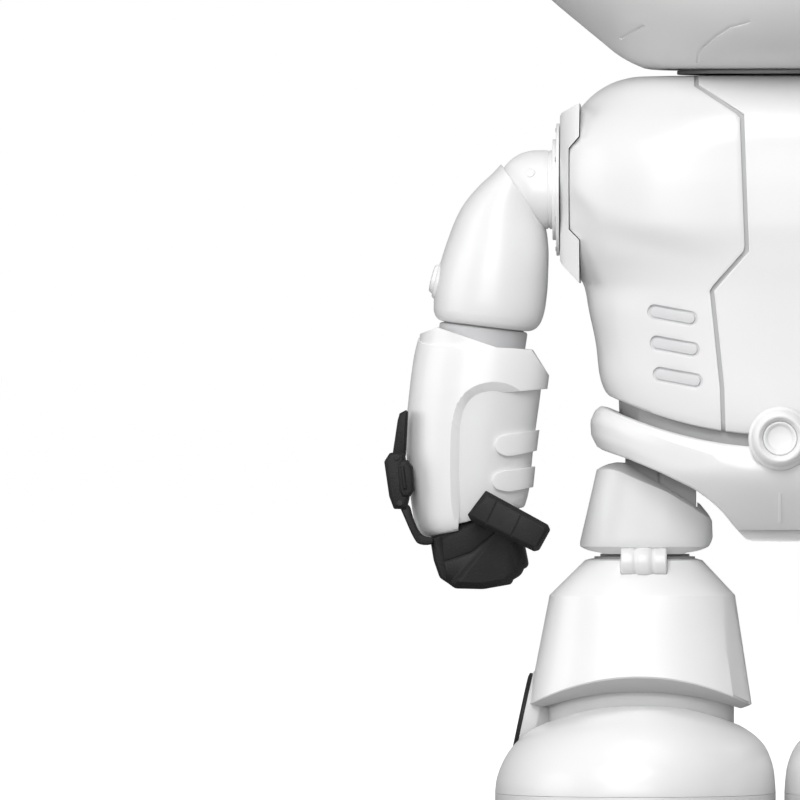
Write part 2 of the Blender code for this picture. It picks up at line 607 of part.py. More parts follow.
def build_foot():
    upper = loft("foot_shell_right", [
        foot_ring(42.1, 55.0, 52.0, 31.4), foot_ring(41.7, 54.2, 51.0, 36.0),
        foot_ring(39.6, 51.0, 47.6, 42.0),
        foot_ring(36.0, 46.0, 43.0, 47.0), foot_ring(29.4, 37.6, 36.0, 52.0),
        foot_ring(20.0, 27.0, 27.0, 55.6),
        foot_ring(9.0, 13.0, 14.0, 57.2),
    ], WHITE)
    well = loft("cut_ankle_well", [
        plan_ring(-42.0, 30.8, 25.6, 32.8), plan_ring(-42.0, 32.4, 27.6, 44.0),
        plan_ring(-42.0, 32.6, 27.4, 62.0)])
    cut(upper, well)
    cut(upper, turned("cut_disc_room", [(17.0, -8.0), (17.0, 12.0)], DISC_AXIS, ANKLE_DISC, segments=LOOP))
    base = loft("foot_base_right", [
        foot_ring(38.6, 51.0, 48.0, 0.0), foot_ring(40.6, 53.2, 50.2, 3.0),
        foot_ring(41.8, 54.6, 51.6, 12.0),
        foot_ring(41.9, 54.8, 51.8, 31.0),
    ], GREY)
    cut(base, box("cut_base_hollow", (FOOT_X, -6.0, 21.0), (50, 66, 24)))


# ---------------------------------------------------------------------------- assembly

BODIES = {
    "torso": (Vector((0, 0, 0)), ["chest_plate_right", "chest_plate_left", "chest_center_panel", "back_shell",
                                  "battery_door", "waist_collar", "torso_frame", "battery_pack",
                                  "control_board", "shoulder_pod_right", "shoulder_ring_right"]),
    "head": (Vector((0, 0, TOP_OF_TORSO)), ["head_front_shell", "head_back_shell", "face_visor", "eye_right",
                                            "eye_left", "ear_disc_right", "ear_disc_left", "neck_swivel"]),
    "pelvis": (Vector((0, 0, BUCKLE_Z)), ["pelvis_shell", "buckle_ring"]),
    "button": (Vector((0, BUCKLE_Y, BUCKLE_Z)), ["power_button"]),
    "shoulder_right": (Vector((BALL_X, 0, SHOULDER_Z)), ["shoulder_ball_right"]),
    "upper_arm_right": (Vector((BALL_X, 0, SHOULDER_Z)), ["upper_arm_right", "elbow_cap_right"]),
    "forearm_right": (ELBOW, ["elbow_neck_right", "forearm_shell_right", "forearm_core_right", "palm_right"]),
    "thumb_right": (THUMB_PIN, ["thumb_right"]),
    "finger_right": (FINGER_BASE, ["finger_link_right"]),
    "fingertip_right": (KNUCKLE, ["finger_tip_right"]),
    "thigh_right": (HIP, ["hip_drum_right", "thigh_right", "knee_hinge_right"]),
    "shin_right": (KNEE, ["shin_right", "ankle_core_right", "ankle_disc_right"]),
    "foot_right": (ANKLE, ["foot_shell_right", "foot_base_right"]),
}


def bake(obj):
    """Replaces an object's mesh with the one its modifiers make."""
    graph = bpy.context.evaluated_depsgraph_get()
    mesh = bpy.data.meshes.new_from_object(obj.evaluated_get(graph))
    mesh.transform(obj.matrix_world)
    obj.modifiers.clear()
    obj.data = mesh
    obj.matrix_world = Matrix.Identity(4)


def mirrored(obj):
    """The left-hand copy of a right-hand piece."""
    mesh = obj.data.copy()
    mesh.transform(Matrix.Diagonal((-1, 1, 1, 1)))
    mesh.flip_normals()
    twin = bpy.data.objects.new(obj.name.replace("_right", "_left"), mesh)
    PARTS.objects.link(twin)
    return twin


def attach(body, pivot, pieces):
    """Parents pieces to an empty on their joint, with each piece's origin on that joint."""
    empty = bpy.data.objects.new(f"pivot_{body}", None)
    empty.location = pivot * MM
    PARTS.objects.link(empty)
    for piece in pieces:
        piece.data.transform(Matrix.Translation(-pivot * MM))
        piece.data.shade_smooth()
        piece.data.set_sharp_from_angle(angle=math.radians(32))
        piece.parent = empty


def assemble():
    for obj in list(PARTS.objects):
        bake(obj)
    for obj in list(CUTTERS.objects):
        bpy.data.objects.remove(obj)
    single = {"head", "pelvis", "button"}
    for body, (pivot, names) in BODIES.items():
        pieces = [PARTS.objects[name] for name in names]
        if body == "torso":
            pieces += [mirrored(p) for p in pieces if p.name.startswith("shoulder_")]
        elif body not in single:
            left = [mirrored(p) for p in pieces]
            attach(body.replace("_right", "_left"), Vector((-pivot.x, pivot.y, pivot.z)), left)
        attach(body, pivot, pieces)


for leftover in list(bpy.data.objects):
    bpy.data.objects.remove(leftover)
PARTS = new_collection("humanoid_robot_kit")
CUTTERS = new_collection("cutters")
WHITE = make_material("white_plastic", (0.86, 0.86, 0.86), 0.3)
GREY = make_material("grey_plastic", (0.55, 0.55, 0.56), 0.45)
DARK = make_material("dark_joint_plastic", (0.34, 0.34, 0.345), 0.5)
BLACK = make_material("black_hand_plastic", (0.02, 0.02, 0.021), 0.55)
BLACK_GLOSS = make_material("smoked_visor", (0.008, 0.008, 0.01), 0.08)
LENS = make_material("eye_lens", (0.35, 0.75, 0.9), 0.12)
GREEN = make_material("circuit_board", (0.02, 0.22, 0.08), 0.5)
build_torso()
build_shoulder_mount()
build_head()
build_pelvis()
build_upper_arm()
build_forearm()
build_hand()
build_thigh()
build_shin()
build_foot()
assemble()
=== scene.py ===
"""Humanoid robot kit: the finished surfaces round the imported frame, with floor, lights and camera.

The robot faces -Y and its right side is at -X. Shapes are in millimetres until new_piece scales them.
The right arm and leg are modelled, and the left ones are their mirror.
"""

import json
import math

import bmesh
import bpy
import numpy as np
from mathutils import Matrix, Vector


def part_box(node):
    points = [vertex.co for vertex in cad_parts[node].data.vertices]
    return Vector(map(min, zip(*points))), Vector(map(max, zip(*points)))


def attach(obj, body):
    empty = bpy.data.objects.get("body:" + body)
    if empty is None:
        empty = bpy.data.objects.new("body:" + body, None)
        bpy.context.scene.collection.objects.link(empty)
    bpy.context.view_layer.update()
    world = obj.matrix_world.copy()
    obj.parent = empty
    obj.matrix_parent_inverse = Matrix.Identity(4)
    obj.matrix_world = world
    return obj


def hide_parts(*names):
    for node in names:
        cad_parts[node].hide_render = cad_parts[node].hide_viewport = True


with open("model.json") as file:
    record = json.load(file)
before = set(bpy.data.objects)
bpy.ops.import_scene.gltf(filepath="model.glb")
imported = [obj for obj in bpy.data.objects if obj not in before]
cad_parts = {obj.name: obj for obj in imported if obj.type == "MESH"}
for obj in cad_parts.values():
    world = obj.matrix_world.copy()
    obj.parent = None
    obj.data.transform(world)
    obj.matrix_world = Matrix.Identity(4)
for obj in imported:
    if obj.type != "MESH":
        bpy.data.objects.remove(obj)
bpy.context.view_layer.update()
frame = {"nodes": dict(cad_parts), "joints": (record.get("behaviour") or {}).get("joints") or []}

MM = 0.001
BEVEL = 0.4           # rounding of a moulded edge
GROOVE = 1.3          # width of the gap between two panels
WALL = 1.6            # shell thickness
LINER_DEPTH = 1.15    # floor of the grooves, below the outer surface
SIDES = ((-1, "right"), (1, "left"))
JOINTS = {joint["name"]: joint for joint in frame["joints"]}


def box_mm(node):
    low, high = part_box(node)
    return Vector(low) / MM, Vector(high) / MM


def joint_mm(name):
    return Vector(JOINTS[name]["pos_m"]) / MM


# ---- shape tools

def smoothstep(low, high, value):
    t = np.clip((np.asarray(value, float) - low) / (high - low), 0, 1)
    return t * t * (3 - 2 * t)


def ease_through(knots, values, where):
    """A smooth curve through the values that never overshoots them (monotone cubic)."""
    knots, values = np.asarray(knots, float), np.asarray(values, float)
    values = values.reshape(len(knots), -1)
    step = np.diff(knots)[:, None]
    slope = np.diff(values, axis=0) / step
    tangent = np.zeros_like(values)
    tangent[0], tangent[-1] = slope[0], slope[-1]
    before, after = slope[:-1], slope[1:]
    same_way = before * after > 0
    weight_a, weight_b = 2 * step[1:] + step[:-1], step[1:] + 2 * step[:-1]
    safe_before, safe_after = np.where(same_way, before, 1), np.where(same_way, after, 1)
    mean = (weight_a + weight_b) / (weight_a / safe_before + weight_b / safe_after)
    tangent[1:-1] = np.where(same_way, mean, 0)
    where = np.asarray(where, float)
    i = np.clip(np.searchsorted(knots, where, side="right") - 1, 0, len(knots) - 2)
    h = step[i]
    t = ((where - knots[i]) / h[:, 0])[:, None]
    start, end = values[i], values[i + 1]
    return (start * (1 + 2 * t) * (1 - t) ** 2 + tangent[i] * h * t * (1 - t) ** 2
            + end * t * t * (3 - 2 * t) + tangent[i + 1] * h * t * t * (t - 1))


def value_on(line, where):
    """The second coordinate of a line of points, where its first one has a given value."""
    return np.interp(where, *zip(*line))


def run_length(points):
    """Distance along a line of points from its first one."""
    return np.r_[0, np.cumsum(np.linalg.norm(np.diff(points, axis=0), axis=1))]


def spread(table, columns, count):
    """Rows of a table at even distances along the line through its first columns."""
    distance = run_length(table[:, :columns])
    return ease_through(distance, table, np.linspace(0, distance[-1], count))


def smooth_line(points, count):
    """Points spread evenly along a smooth curve through the given ones."""
    return [tuple(p) for p in spread(np.array(points), 2, count)]


def unit_outline(angle, squareness):
    """A rounded square of half width 1: a circle at squareness 2, more square above it."""
    c, s = np.cos(angle), np.sin(angle)
    radius = (np.abs(c) ** squareness + np.abs(s) ** squareness) ** (-1 / squareness)
    return radius * c, radius * s


def grid_mesh(bm, rows, closed):
    rows = [[bm.verts.new(p) for p in row] for row in rows]
    count = len(rows[0])
    for low, high in zip(rows, rows[1:]):
        for j in range(count if closed else count - 1):
            k = (j + 1) % count
            bm.faces.new((low[j], low[k], high[k], high[j]))
    return rows


def new_piece(name, bm):
    bmesh.ops.recalc_face_normals(bm, faces=bm.faces)
    mesh = bpy.data.meshes.new(name)
    bm.to_mesh(mesh)
    bm.free()
    mesh.transform(Matrix.Scale(MM, 4))
    obj = bpy.data.objects.new(name, mesh)
    bpy.context.scene.collection.objects.link(obj)
    return obj


def loft(name, rows):
    """A closed solid through rings of one even number of points, closed by front-to-back strips."""
    bm = bmesh.new()
    verts = grid_mesh(bm, rows, closed=True)
    for ring in (verts[0], verts[-1]):
        count = len(ring)
        for j in range(count // 2):
            corners = (ring[j], ring[j + 1], ring[(count - j - 1) % count], ring[(count - j) % count])
            bm.faces.new(list(dict.fromkeys(corners)))
    return new_piece(name, bm)


def ring_at(left, right, front, back, squareness, height, columns=64, rise=None):
    """One rounded-square ring. rise(x, y) lifts its points."""
    angle = np.arange(columns) * math.tau / columns
    c, s = unit_outline(angle, squareness)
    x = (left + right) / 2 + (right - left) / 2 * c
    y = (front + back) / 2 + (back - front) / 2 * s
    z = np.full(columns, float(height)) + (rise(x, y) if rise else 0)
    return [Vector(p) for p in zip(x, y, z)]


def rings_through(stations, rows=40, columns=64, rise=None):
    """Smooth rings through stations of (height, left, right, front, back, squareness).

    rise(x, y, height) gives how much a point is lifted.
    """
    table = np.array(stations, float)
    distance = run_length(table[:, :5])
    where = np.unique(np.r_[np.linspace(0, distance[-1], rows), distance])
    rings = []
    for height, left, right, front, back, squareness in ease_through(distance, table, where):
        lift = (lambda x, y, h=height: rise(x, y, h)) if rise else None
        rings.append(ring_at(left, right, front, back, squareness, height, columns, lift))
    return rings


def corner_arc(before, corner, after, radius, limit, steps):
    """Points of the short arc that rounds a corner."""
    reach = min(radius, (before - corner).length * limit, (after - corner).length * limit)
    a = corner + (before - corner).normalized() * reach
    b = corner + (after - corner).normalized() * reach
    shares = (i / steps for i in range(steps + 1))
    return [a * (1 - t) ** 2 + corner * 2 * t * (1 - t) + b * t * t for t in shares]


def turn_to(axis):
    """The rotation that takes +Z to an axis."""
    return Vector((0, 0, 1)).rotation_difference(Vector(axis)).to_matrix()


def turned(name, profile, axis, centre, segments=96, rounding=0.05):
    """A turned piece. The profile is (radius, distance along the axis) from its first end to its last."""
    points = [Vector(p) for p in ((0.001, profile[0][1]), *profile, (0.001, profile[-1][1]))]
    line = [points[0]]
    for three in zip(points, points[1:], points[2:]):
        line += corner_arc(*three, rounding, 0.45, 4)
    turn = turn_to(axis)
    angle = np.arange(segments) * 2 * math.pi / segments
    rows = [[Vector(centre) + turn @ Vector((radius * math.cos(a), radius * math.sin(a), along))
             for a in angle] for radius, along in (*line, points[-1])]
    return loft(name, rows)


def prism(name, rows):
    """A closed solid through rings, with one flat face on each end."""
    bm = bmesh.new()
    verts = grid_mesh(bm, rows, closed=True)
    bm.faces.new(verts[0])
    bm.faces.new(verts[-1])
    return new_piece(name, bm)


def extruded(name, outline, axis, low, high):
    """A flat outline drawn out along an axis: (y, z) points for X, (x, z) for Y and (x, y) for Z."""
    place = {"X": lambda p, d: (d, *p), "Y": lambda p, d: (p[0], d, p[1]), "Z": lambda p, d: (*p, d)}[axis]
    return prism(name, [[place(p, d) for p in outline] for d in (low, high)])


def rectangle(left, low, right, high):
    return [(left, low), (right, low), (right, high), (left, high)]


def lifted(ring, height):
    return [p + Vector((0, 0, height)) for p in ring]


def inset_outline(points, distance):
    """A closed outline moved inwards by a distance, with mitred corners."""
    points = [Vector(p) for p in points]
    area = sum(a.x * b.y - b.x * a.y for a, b in zip(points, [*points[1:], points[0]]))
    sign = 1 if area > 0 else -1
    out = []
    for i, p in enumerate(points):
        a = (p - points[i - 1]).normalized()
        b = (points[(i + 1) % len(points)] - p).normalized()
        left_a, left_b = Vector((-a.y, a.x)) * sign, Vector((-b.y, b.x)) * sign
        out.append(tuple(p + (left_a + left_b) / max(0.35, 1 + left_a.dot(left_b)) * distance))
    return out


def pad(name, outline, front, back, chamfer, round_off=0.35):
    """A thick (x, z) outline from a front y to a back y, with chamfered and slightly rounded edges."""
    small = inset_outline(outline, chamfer)
    rows = [[(x, y, z) for x, z in line] for y, line in (
        (front, small), (front + chamfer, outline), (back - chamfer, outline), (back, small))]
    return soften(prism(name, rows), round_off, 2, 25)


def rounded_outline(points, radius, steps=5):
    """A closed outline with every corner rounded."""
    points = [Vector(p) for p in points]
    corners = zip([points[-1], *points], points, [*points[1:], points[0]])
    return [tuple(p) for three in corners for p in corner_arc(*three, radius, 0.48, steps)]


def smooth_closed(points):
    """A closed outline rounded by cutting its corners twice."""
    for _ in range(2):
        points = [tuple(Vector(a).lerp(Vector(b), t)) for a, b in zip(points, [*points[1:], points[0]])
                  for t in (0.25, 0.75)]
    return points


def stadium(centre, half_run, radius, tilt, steps=10):
    """Outline of a slot with round ends, tilted in its plane."""
    c, s = math.cos(tilt), math.sin(tilt)
    out = []
    for end in (1, -1):
        for i in range(steps):
            angle = -end * math.pi / 2 + math.pi * i / (steps - 1)
            along, across = end * half_run + radius * math.cos(angle), radius * math.sin(angle)
            out.append((centre[0] + along * c - across * s, centre[1] + along * s + across * c))
    return out


def groove_tool(name, path, width, depth):
    """A thin solid along a path of (point, outward normal), to engrave a line into a surface."""
    rows = []
    for i, (point, normal) in enumerate(path):
        ahead = path[min(i + 1, len(path) - 1)][0] - path[max(i - 1, 0)][0]
        side = normal.cross(ahead).normalized() * width / 2
        rows.append([point - side - normal * depth, point + side - normal * depth,
                     point + side + normal, point - side + normal])
    return loft(name, rows)


def boolean(obj, tool, operation="DIFFERENCE"):
    """Applies a Boolean at once and removes the tool."""
    modifier = obj.modifiers.new("cut", "BOOLEAN")
    modifier.operation = operation
    modifier.object = tool
    modifier.solver = "EXACT"
    modifier.material_mode = "TRANSFER"
    bake(obj)
    bpy.data.objects.remove(tool)


def cut(obj, outline, axis, low, high, operation="DIFFERENCE"):
    """Takes a drawn-out outline away from a piece, or keeps only what is inside it."""
    boolean(obj, extruded("tool", outline, axis, low, high), operation)


def bore(obj, profile, axis, centre, segments=96, rounding=0.05):
    """Takes a turned shape away from a piece."""
    boolean(obj, turned("tool", profile, axis, centre, segments, rounding))


def bake(obj):
    """Applies every modifier."""
    graph = bpy.context.evaluated_depsgraph_get()
    obj.data = bpy.data.meshes.new_from_object(obj.evaluated_get(graph))
    obj.modifiers.clear()
    return obj


def open_shell(name, rows, centre, wall=WALL):
    """A shell whose outer surface is an open grid that faces away from a centre."""
    bm = bmesh.new()
    grid_mesh(bm, rows, closed=False)
    obj = new_piece(name, bm)
    looks = sum((p.center - Vector(centre) * MM).dot(p.normal) for p in obj.data.polygons)
    if looks < 0:
        obj.data.flip_normals()
    solidify = obj.modifiers.new("wall", "SOLIDIFY")
    solidify.thickness = wall * MM
    solidify.offset = -1
    return bake(obj)


def soften(obj, width=BEVEL, segments=3, angle=38):
    """Rounds the edges sharper than an angle."""
    bevel = obj.modifiers.new("edges", "BEVEL")
    bevel.width = width * MM
    bevel.segments = segments
    bevel.limit_method = "ANGLE"
    bevel.angle_limit = math.radians(angle)
    bevel.use_clamp_overlap = True
    return bake(obj)


def mirror_of(obj):
    """The left-hand twin of a right-hand piece."""
    mesh = obj.data.copy()
    mesh.transform(Matrix.Diagonal((-1, 1, 1, 1)))
    mesh.flip_normals()
    twin = bpy.data.objects.new(obj.name.replace("_right", "_left"), mesh)
    bpy.context.scene.collection.objects.link(twin)
    return twin


def give(obj, material):
    """Puts a material on a mesh that has none."""
    if not any(obj.data.materials):
        obj.data.materials.clear()
        obj.data.materials.append(material)


def fit(obj, body, slot, material, *nodes, smooth_angle=40):
    """Finishes a piece: its material, shading, body and the CAD nodes that it stands for. The slot is not used."""
    give(obj, material)
    obj.data.shade_smooth()
    obj.data.set_sharp_from_angle(angle=math.radians(smooth_angle))
    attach(obj, body)
    if nodes:
        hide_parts(*nodes)


def fit_pair(obj, body, slot, material, *nodes, smooth_angle=40):
    """Finishes a right-hand piece and its left-hand twin."""
    give(obj, material)
    twin = mirror_of(obj)
    fit(obj, body, slot, material, *nodes, smooth_angle=smooth_angle)
    to_left = [name.replace("_right", "_left") for name in (body, *nodes)]
    fit(twin, to_left[0], slot, material, *to_left[1:], smooth_angle=smooth_angle)


# ---- materials

def add_node(tree, kind, inputs=None, **settings):
    """A new shader node. Each input is set to a value, or linked when a socket is given."""
    node = tree.nodes.new("ShaderNode" + kind)
    for key, value in settings.items():
        setattr(node, key, value)
    for key, value in (inputs or {}).items():
        if isinstance(value, bpy.types.NodeSocket):
            tree.links.new(value, node.inputs[key])
        else:
            node.inputs[key].default_value = value
    return node


def plastic(name, colour, roughness, grain=0.0, grain_scale=1400.0, tone=0.03, coat=0.0, wear=0.0,
            uneven=0.15, specular=0.5):
    """Moulded plastic: slow tone changes, uneven gloss, a fine grain and lighter worn edges."""
    material = bpy.data.materials.new(name)
    material.use_nodes = True
    tree = material.node_tree
    shader = tree.nodes["Principled BSDF"]
    place = add_node(tree, "TexCoord").outputs["Object"]

    def noise(scale, detail):
        return add_node(tree, "TexNoise", {"Vector": place, "Scale": scale, "Detail": detail}).outputs["Fac"]

    def mix(factor, a, b):
        return add_node(tree, "Mix", {"Factor": factor, "A": a, "B": b}, data_type="RGBA").outputs["Result"]

    surface = mix(noise(22, 3), (*[c * (1 - tone) for c in colour], 1),
                  (*[min(1, c * (1 + tone * 0.6)) for c in colour], 1))
    if wear:
        edge = add_node(tree, "NewGeometry").outputs["Pointiness"]
        rub = add_node(tree, "MapRange", {"Value": edge, "From Min": 0.53, "From Max": 0.62, "To Max": wear})
        surface = mix(rub.outputs["Result"], surface, (*[min(1, c * 1.25 + 0.05) for c in colour], 1))
    gloss = add_node(tree, "MapRange", {"Value": noise(65, 4), "From Min": 0.3, "From Max": 0.7,
                                        "To Min": roughness * (1 - uneven), "To Max": roughness * (1 + uneven)})
    tree.links.new(surface, shader.inputs["Base Color"])
    tree.links.new(gloss.outputs["Result"], shader.inputs["Roughness"])
    if grain:
        bump = add_node(tree, "Bump", {"Height": noise(grain_scale, 2), "Strength": grain, "Distance": 0.0002})
        tree.links.new(bump.outputs["Normal"], shader.inputs["Normal"])
    shader.inputs["Coat Weight"].default_value = coat
    shader.inputs["Coat Roughness"].default_value = 0.12
    shader.inputs["Specular IOR Level"].default_value = specular
    return material


WHITE = plastic("white_shell_plastic", (0.84, 0.84, 0.84), 0.31, grain=0.04, tone=0.008, coat=0.1, uneven=0.04)
# grey of the vent floors and grilles: painted shade of the shallow vent recess
VENT_SHADE_GREY = plastic("vent_floor_painted_shade", (0.70, 0.70, 0.71), 0.45, grain=0.15)
# white shell set darker for the thigh: painted shade under the belt
THIGH_SHADED_WHITE = plastic("thigh_painted_shade_plastic", (0.76, 0.76, 0.765), 0.36, grain=0.06, tone=0.01, coat=0.05, uneven=0.05)
GREY = plastic("grey_core_plastic", (0.56, 0.56, 0.57), 0.48, grain=0.2, tone=0.04)
DARK = plastic("dark_joint_plastic", (0.085, 0.085, 0.09), 0.5, grain=0.3, tone=0.1, wear=0.25)
NECK = plastic("neck_plastic", (0.42, 0.42, 0.425), 0.5, grain=0.3, tone=0.08)
SWIVEL = plastic("neck_swivel_plastic", (0.23, 0.23, 0.235), 0.5, grain=0.3, tone=0.08)
LINER = plastic("liner_plastic", (0.52, 0.52, 0.525), 0.6, grain=0.3, tone=0.05)
BLACK = plastic("black_hand_plastic", (0.011, 0.011, 0.012), 0.55, specular=0.3, grain=0.45, grain_scale=2200,
                tone=0.15, wear=0.2)
VISOR = plastic("smoked_visor_plastic", (0.006, 0.006, 0.008), 0.07, tone=0.2, coat=0.6)
LENS = plastic("eye_lens_plastic", (0.32, 0.72, 0.88), 0.12, tone=0.12, coat=0.8)
FOOT_GREY = plastic("foot_base_plastic", (0.72, 0.72, 0.72), 0.36, grain=0.1, tone=0.02)
# white shell set darker for the forearm core: painted shade inside the window
CORE_SHADED_WHITE = plastic("forearm_core_painted_shade", (0.73, 0.73, 0.735), 0.38, grain=0.06, tone=0.01, uneven=0.04)
# grey of the ankle core and plate: painted shade under the cuff
ANKLE_SHADED_GREY = plastic("ankle_painted_shade_grey", (0.58, 0.58, 0.585), 0.42, grain=0.12, tone=0.02)
# grey of the band on the cuff's downward chamfer: painted shade
CUFF_SHADE_GREY = plastic("cuff_chamfer_painted_shade", (0.52, 0.52, 0.525), 0.55, grain=0.25, tone=0.04)
BOARD = plastic("circuit_board_mask", (0.02, 0.20, 0.08), 0.4, grain=0.3, tone=0.2)
STEEL = plastic("screw_steel", (0.55, 0.55, 0.56), 0.35, grain=0.2, tone=0.1)
STEEL.node_tree.nodes["Principled BSDF"].inputs["Metallic"].default_value = 1
SHELL = ("white_shell", WHITE)    # slot and material of the casing
HAND = ("black_hand", BLACK)


def screw_head(name, centre, axis, radius=1.3):
    """A domed screw with a cross recess."""
    axis = Vector(axis).normalized()
    head = turned(name, [(radius, -0.8), (radius, 0.15), (radius * 0.6, 0.45)], axis, centre, 24, 0.15)
    turn = turn_to(axis)
    for a, b in ((radius * 0.6, 0.16), (0.16, radius * 0.6)):
        rows = [[Vector(centre) + turn @ Vector((x, y, z)) for x, y in rectangle(-a, -b, a, b)]
                for z in (-0.1, 1)]
        boolean(head, loft("recess", rows))
    return head


# ---- torso

NECK_TOP = joint_mm("head_yaw").z
SHOULDER = joint_mm("shoulder_pitch_right")
WAIST_DROP = 11.6     # rise of the arched lower edge from its middle to its sides
TORSO_CENTRE = (0, 0, 200)
# (height at the side, half width, depth in front, depth behind, squareness)
TORSO = np.array([
    (149.6, 50.4, 32.2, 31.4, 2.7), (149.9, 51.3, 33, 32.2, 2.7), (151, 52.3, 33.6, 32.8, 2.7),
    (156, 54.1, 34.4, 33.8, 2.75), (165.2, 55.2, 35, 34.8, 2.8), (175.3, 57.3, 35.7, 35.8, 2.8),
    (182.6, 58.7, 36.3, 36.4, 2.75), (186.5, 61, 36.7, 36.7, 2.8), (194, 65, 37.3, 37, 3.1),
    (202, 67, 37.9, 37.4, 3.4), (213, 67.2, 38.1, 37.4, 3.5), (224, 66.6, 37.3, 36.6, 3.3),
    (232, 62.6, 35.6, 35, 2.9), (237.9, 58.2, 33.2, 32.8, 2.6), (241.5, 54, 30.8, 30.4, 2.5),
    (244.3, 48.2, 28, 27.6, 2.4), (245.4, 42.6, 25.4, 25.2, 2.3), (245.6, 33, 22, 22, 2.2),
])
# (x, z) of the groove between a chest plate and the centre panel
SEAM = [(16.6, 118), (16.9, 138.6), (17.3, 152.4), (20.2, 180.2), (20.4, 181.4), (9.9, 193.2), (11.4, 233.6),
        (25, 242.6), (25, 252)]
VENTS = [(-32.2, 174), (-31.5, 164.7), (-30.6, 155.4)]
VENT_TILT = -math.radians(10)
VENT_TURN = math.radians(-16)   # the abdomen curves away where the vents are
SHELL_SEAM = 0.008              # half the gap between the chest and the back, as an angle of the plan
DOOR_START = 0.9                # plan angle at which the blank of the battery door starts
# (x, z) of the shoulder seam, and of the part of the side that the pod fills
POD_SEAM = [(-59.7, 182), (-59.7, 196.5), (-62.85, 199.7), (-62.85, 223.7), (-59.7, 227.3), (-59.7, 239)]
SIDE_OPENING = [*POD_SEAM, (-80, 239), (-80, 182)]
# (x, z) of the soft step under the pectorals
PECTORAL_EDGE = [(0, 190.6), (11.4, 190.8), (24, 191.4), (30, 192.6), (42, 195.6), (54, 200), (62, 206)]
# (z, x) of the crease between the chest and its flank, and how steeply the flank folds back
SIDE_CREASE = [(150, 46), (161.5, 47.2), (170.7, 48.6), (184.5, 50.5), (187.6, 51), (199, 52.8), (206, 56.5),
               (211.6, 61.6), (216, 67.5)]
FOLD_SLOPE = 0.24


def torso_levels(count):
    """Torso table at evenly spread levels, plus how far each level follows the arched waist."""
    fine = spread(TORSO, 4, count)
    fade = np.clip((186 - fine[:, 0]) / (186 - TORSO[0, 0]), 0, 1)
    return np.c_[fine, fade]


def pectoral(x, z):
    """How far the chest stands out, with a soft step under the pectorals."""
    edge = value_on(PECTORAL_EDGE, abs(x))
    step = smoothstep(edge - 2, edge + 7, z) * (1 - smoothstep(216, 240, z))
    return 1.4 * step * smoothstep(6, 40, abs(x))


def side_fold(x, z):
    """How far the flank is folded back, outside the crease that runs down the front of the side."""
    return FOLD_SLOPE * max(0, abs(x) - value_on(SIDE_CREASE, z)) * smoothstep(150, 166, z)


def waist_z(x, half_width, side_z, fade):
    return side_z - WAIST_DROP * fade * (1 - min(1, abs(x) / half_width) ** 2)


def torso_point(level, angle, inset=0.0):
    """A point of the torso's surface at an angle of its plan, 0 at +X and negative in front."""
    side_z, half_width, depth_front, depth_back, squareness, fade = level
    c, s = unit_outline(angle, squareness)
    x = (half_width - inset) * c
    z = waist_z(x, half_width, side_z, fade)
    y = ((depth_front if s < 0 else depth_back) - inset) * s
    if s < 0:
        y += (side_fold(x, z) - pectoral(x, z)) * min(1, 3 * abs(s))
    return Vector((x, y, z))


def torso_ring(level, inset=0.0, count=96):
    return [torso_point(level, math.tau * j / count, inset) for j in range(count)]


def offset_line(points, distance):
    """A line of (x, z) points that climbs, moved to its right by a distance with mitred corners."""
    points = [Vector(p) for p in points]
    ahead = [(b - a).normalized() for a, b in zip(points, points[1:])]
    right = [Vector((d.y, -d.x)) for d in ahead]
    pairs = zip([right[0], *right], [*right, right[-1]])
    return [p + (a + b) / (1 + a.dot(b)) * distance for p, (a, b) in zip(points, pairs)]


SEAM_EDGES = {offset: [(p.y, p.x) for p in offset_line(SEAM, offset)] for offset in (-GROOVE / 2, GROOVE / 2)}


def seam_angle(level, side, offset):
    """The plan angle where an edge of the groove crosses this level in front."""
    side_z, half_width, *_, squareness, fade = level
    x = 20                # a first guess that the loop refines
    for _ in range(4):
        x = value_on(SEAM_EDGES[offset], waist_z(x, half_width, side_z, fade))
    share = min(0.999, abs(x) / half_width)
    return -math.atan2((1 - share ** squareness) ** (1 / squareness), side * share)


def torso_panel(name, start, end, columns=40):
    """A panel of the torso between two plan angles, each a function of the level."""
    rows = []
    for level in torso_levels(84):
        a, b = start(level), end(level)
        rows.append([torso_point(level, a + (b - a) * j / (columns - 1)) for j in range(columns)])
    return open_shell(name, rows, TORSO_CENTRE)


def open_side(obj, side):
    """Makes room for the shoulder pod in one side of the torso."""
    cut(obj, [(side * x, z) for x, z in SIDE_OPENING], "Y", -60, 60)


def torso_surface_y(x, z):
    """The y of the torso's front at a front-view point."""
    levels = torso_levels(84)
    best = min(levels, key=lambda level: abs(waist_z(x, level[1], level[0], level[5]) - z))
    share = min(0.999, abs(x) / best[1])
    return -best[2] * (1 - share ** best[4]) ** (1 / best[4]) - pectoral(x, z)


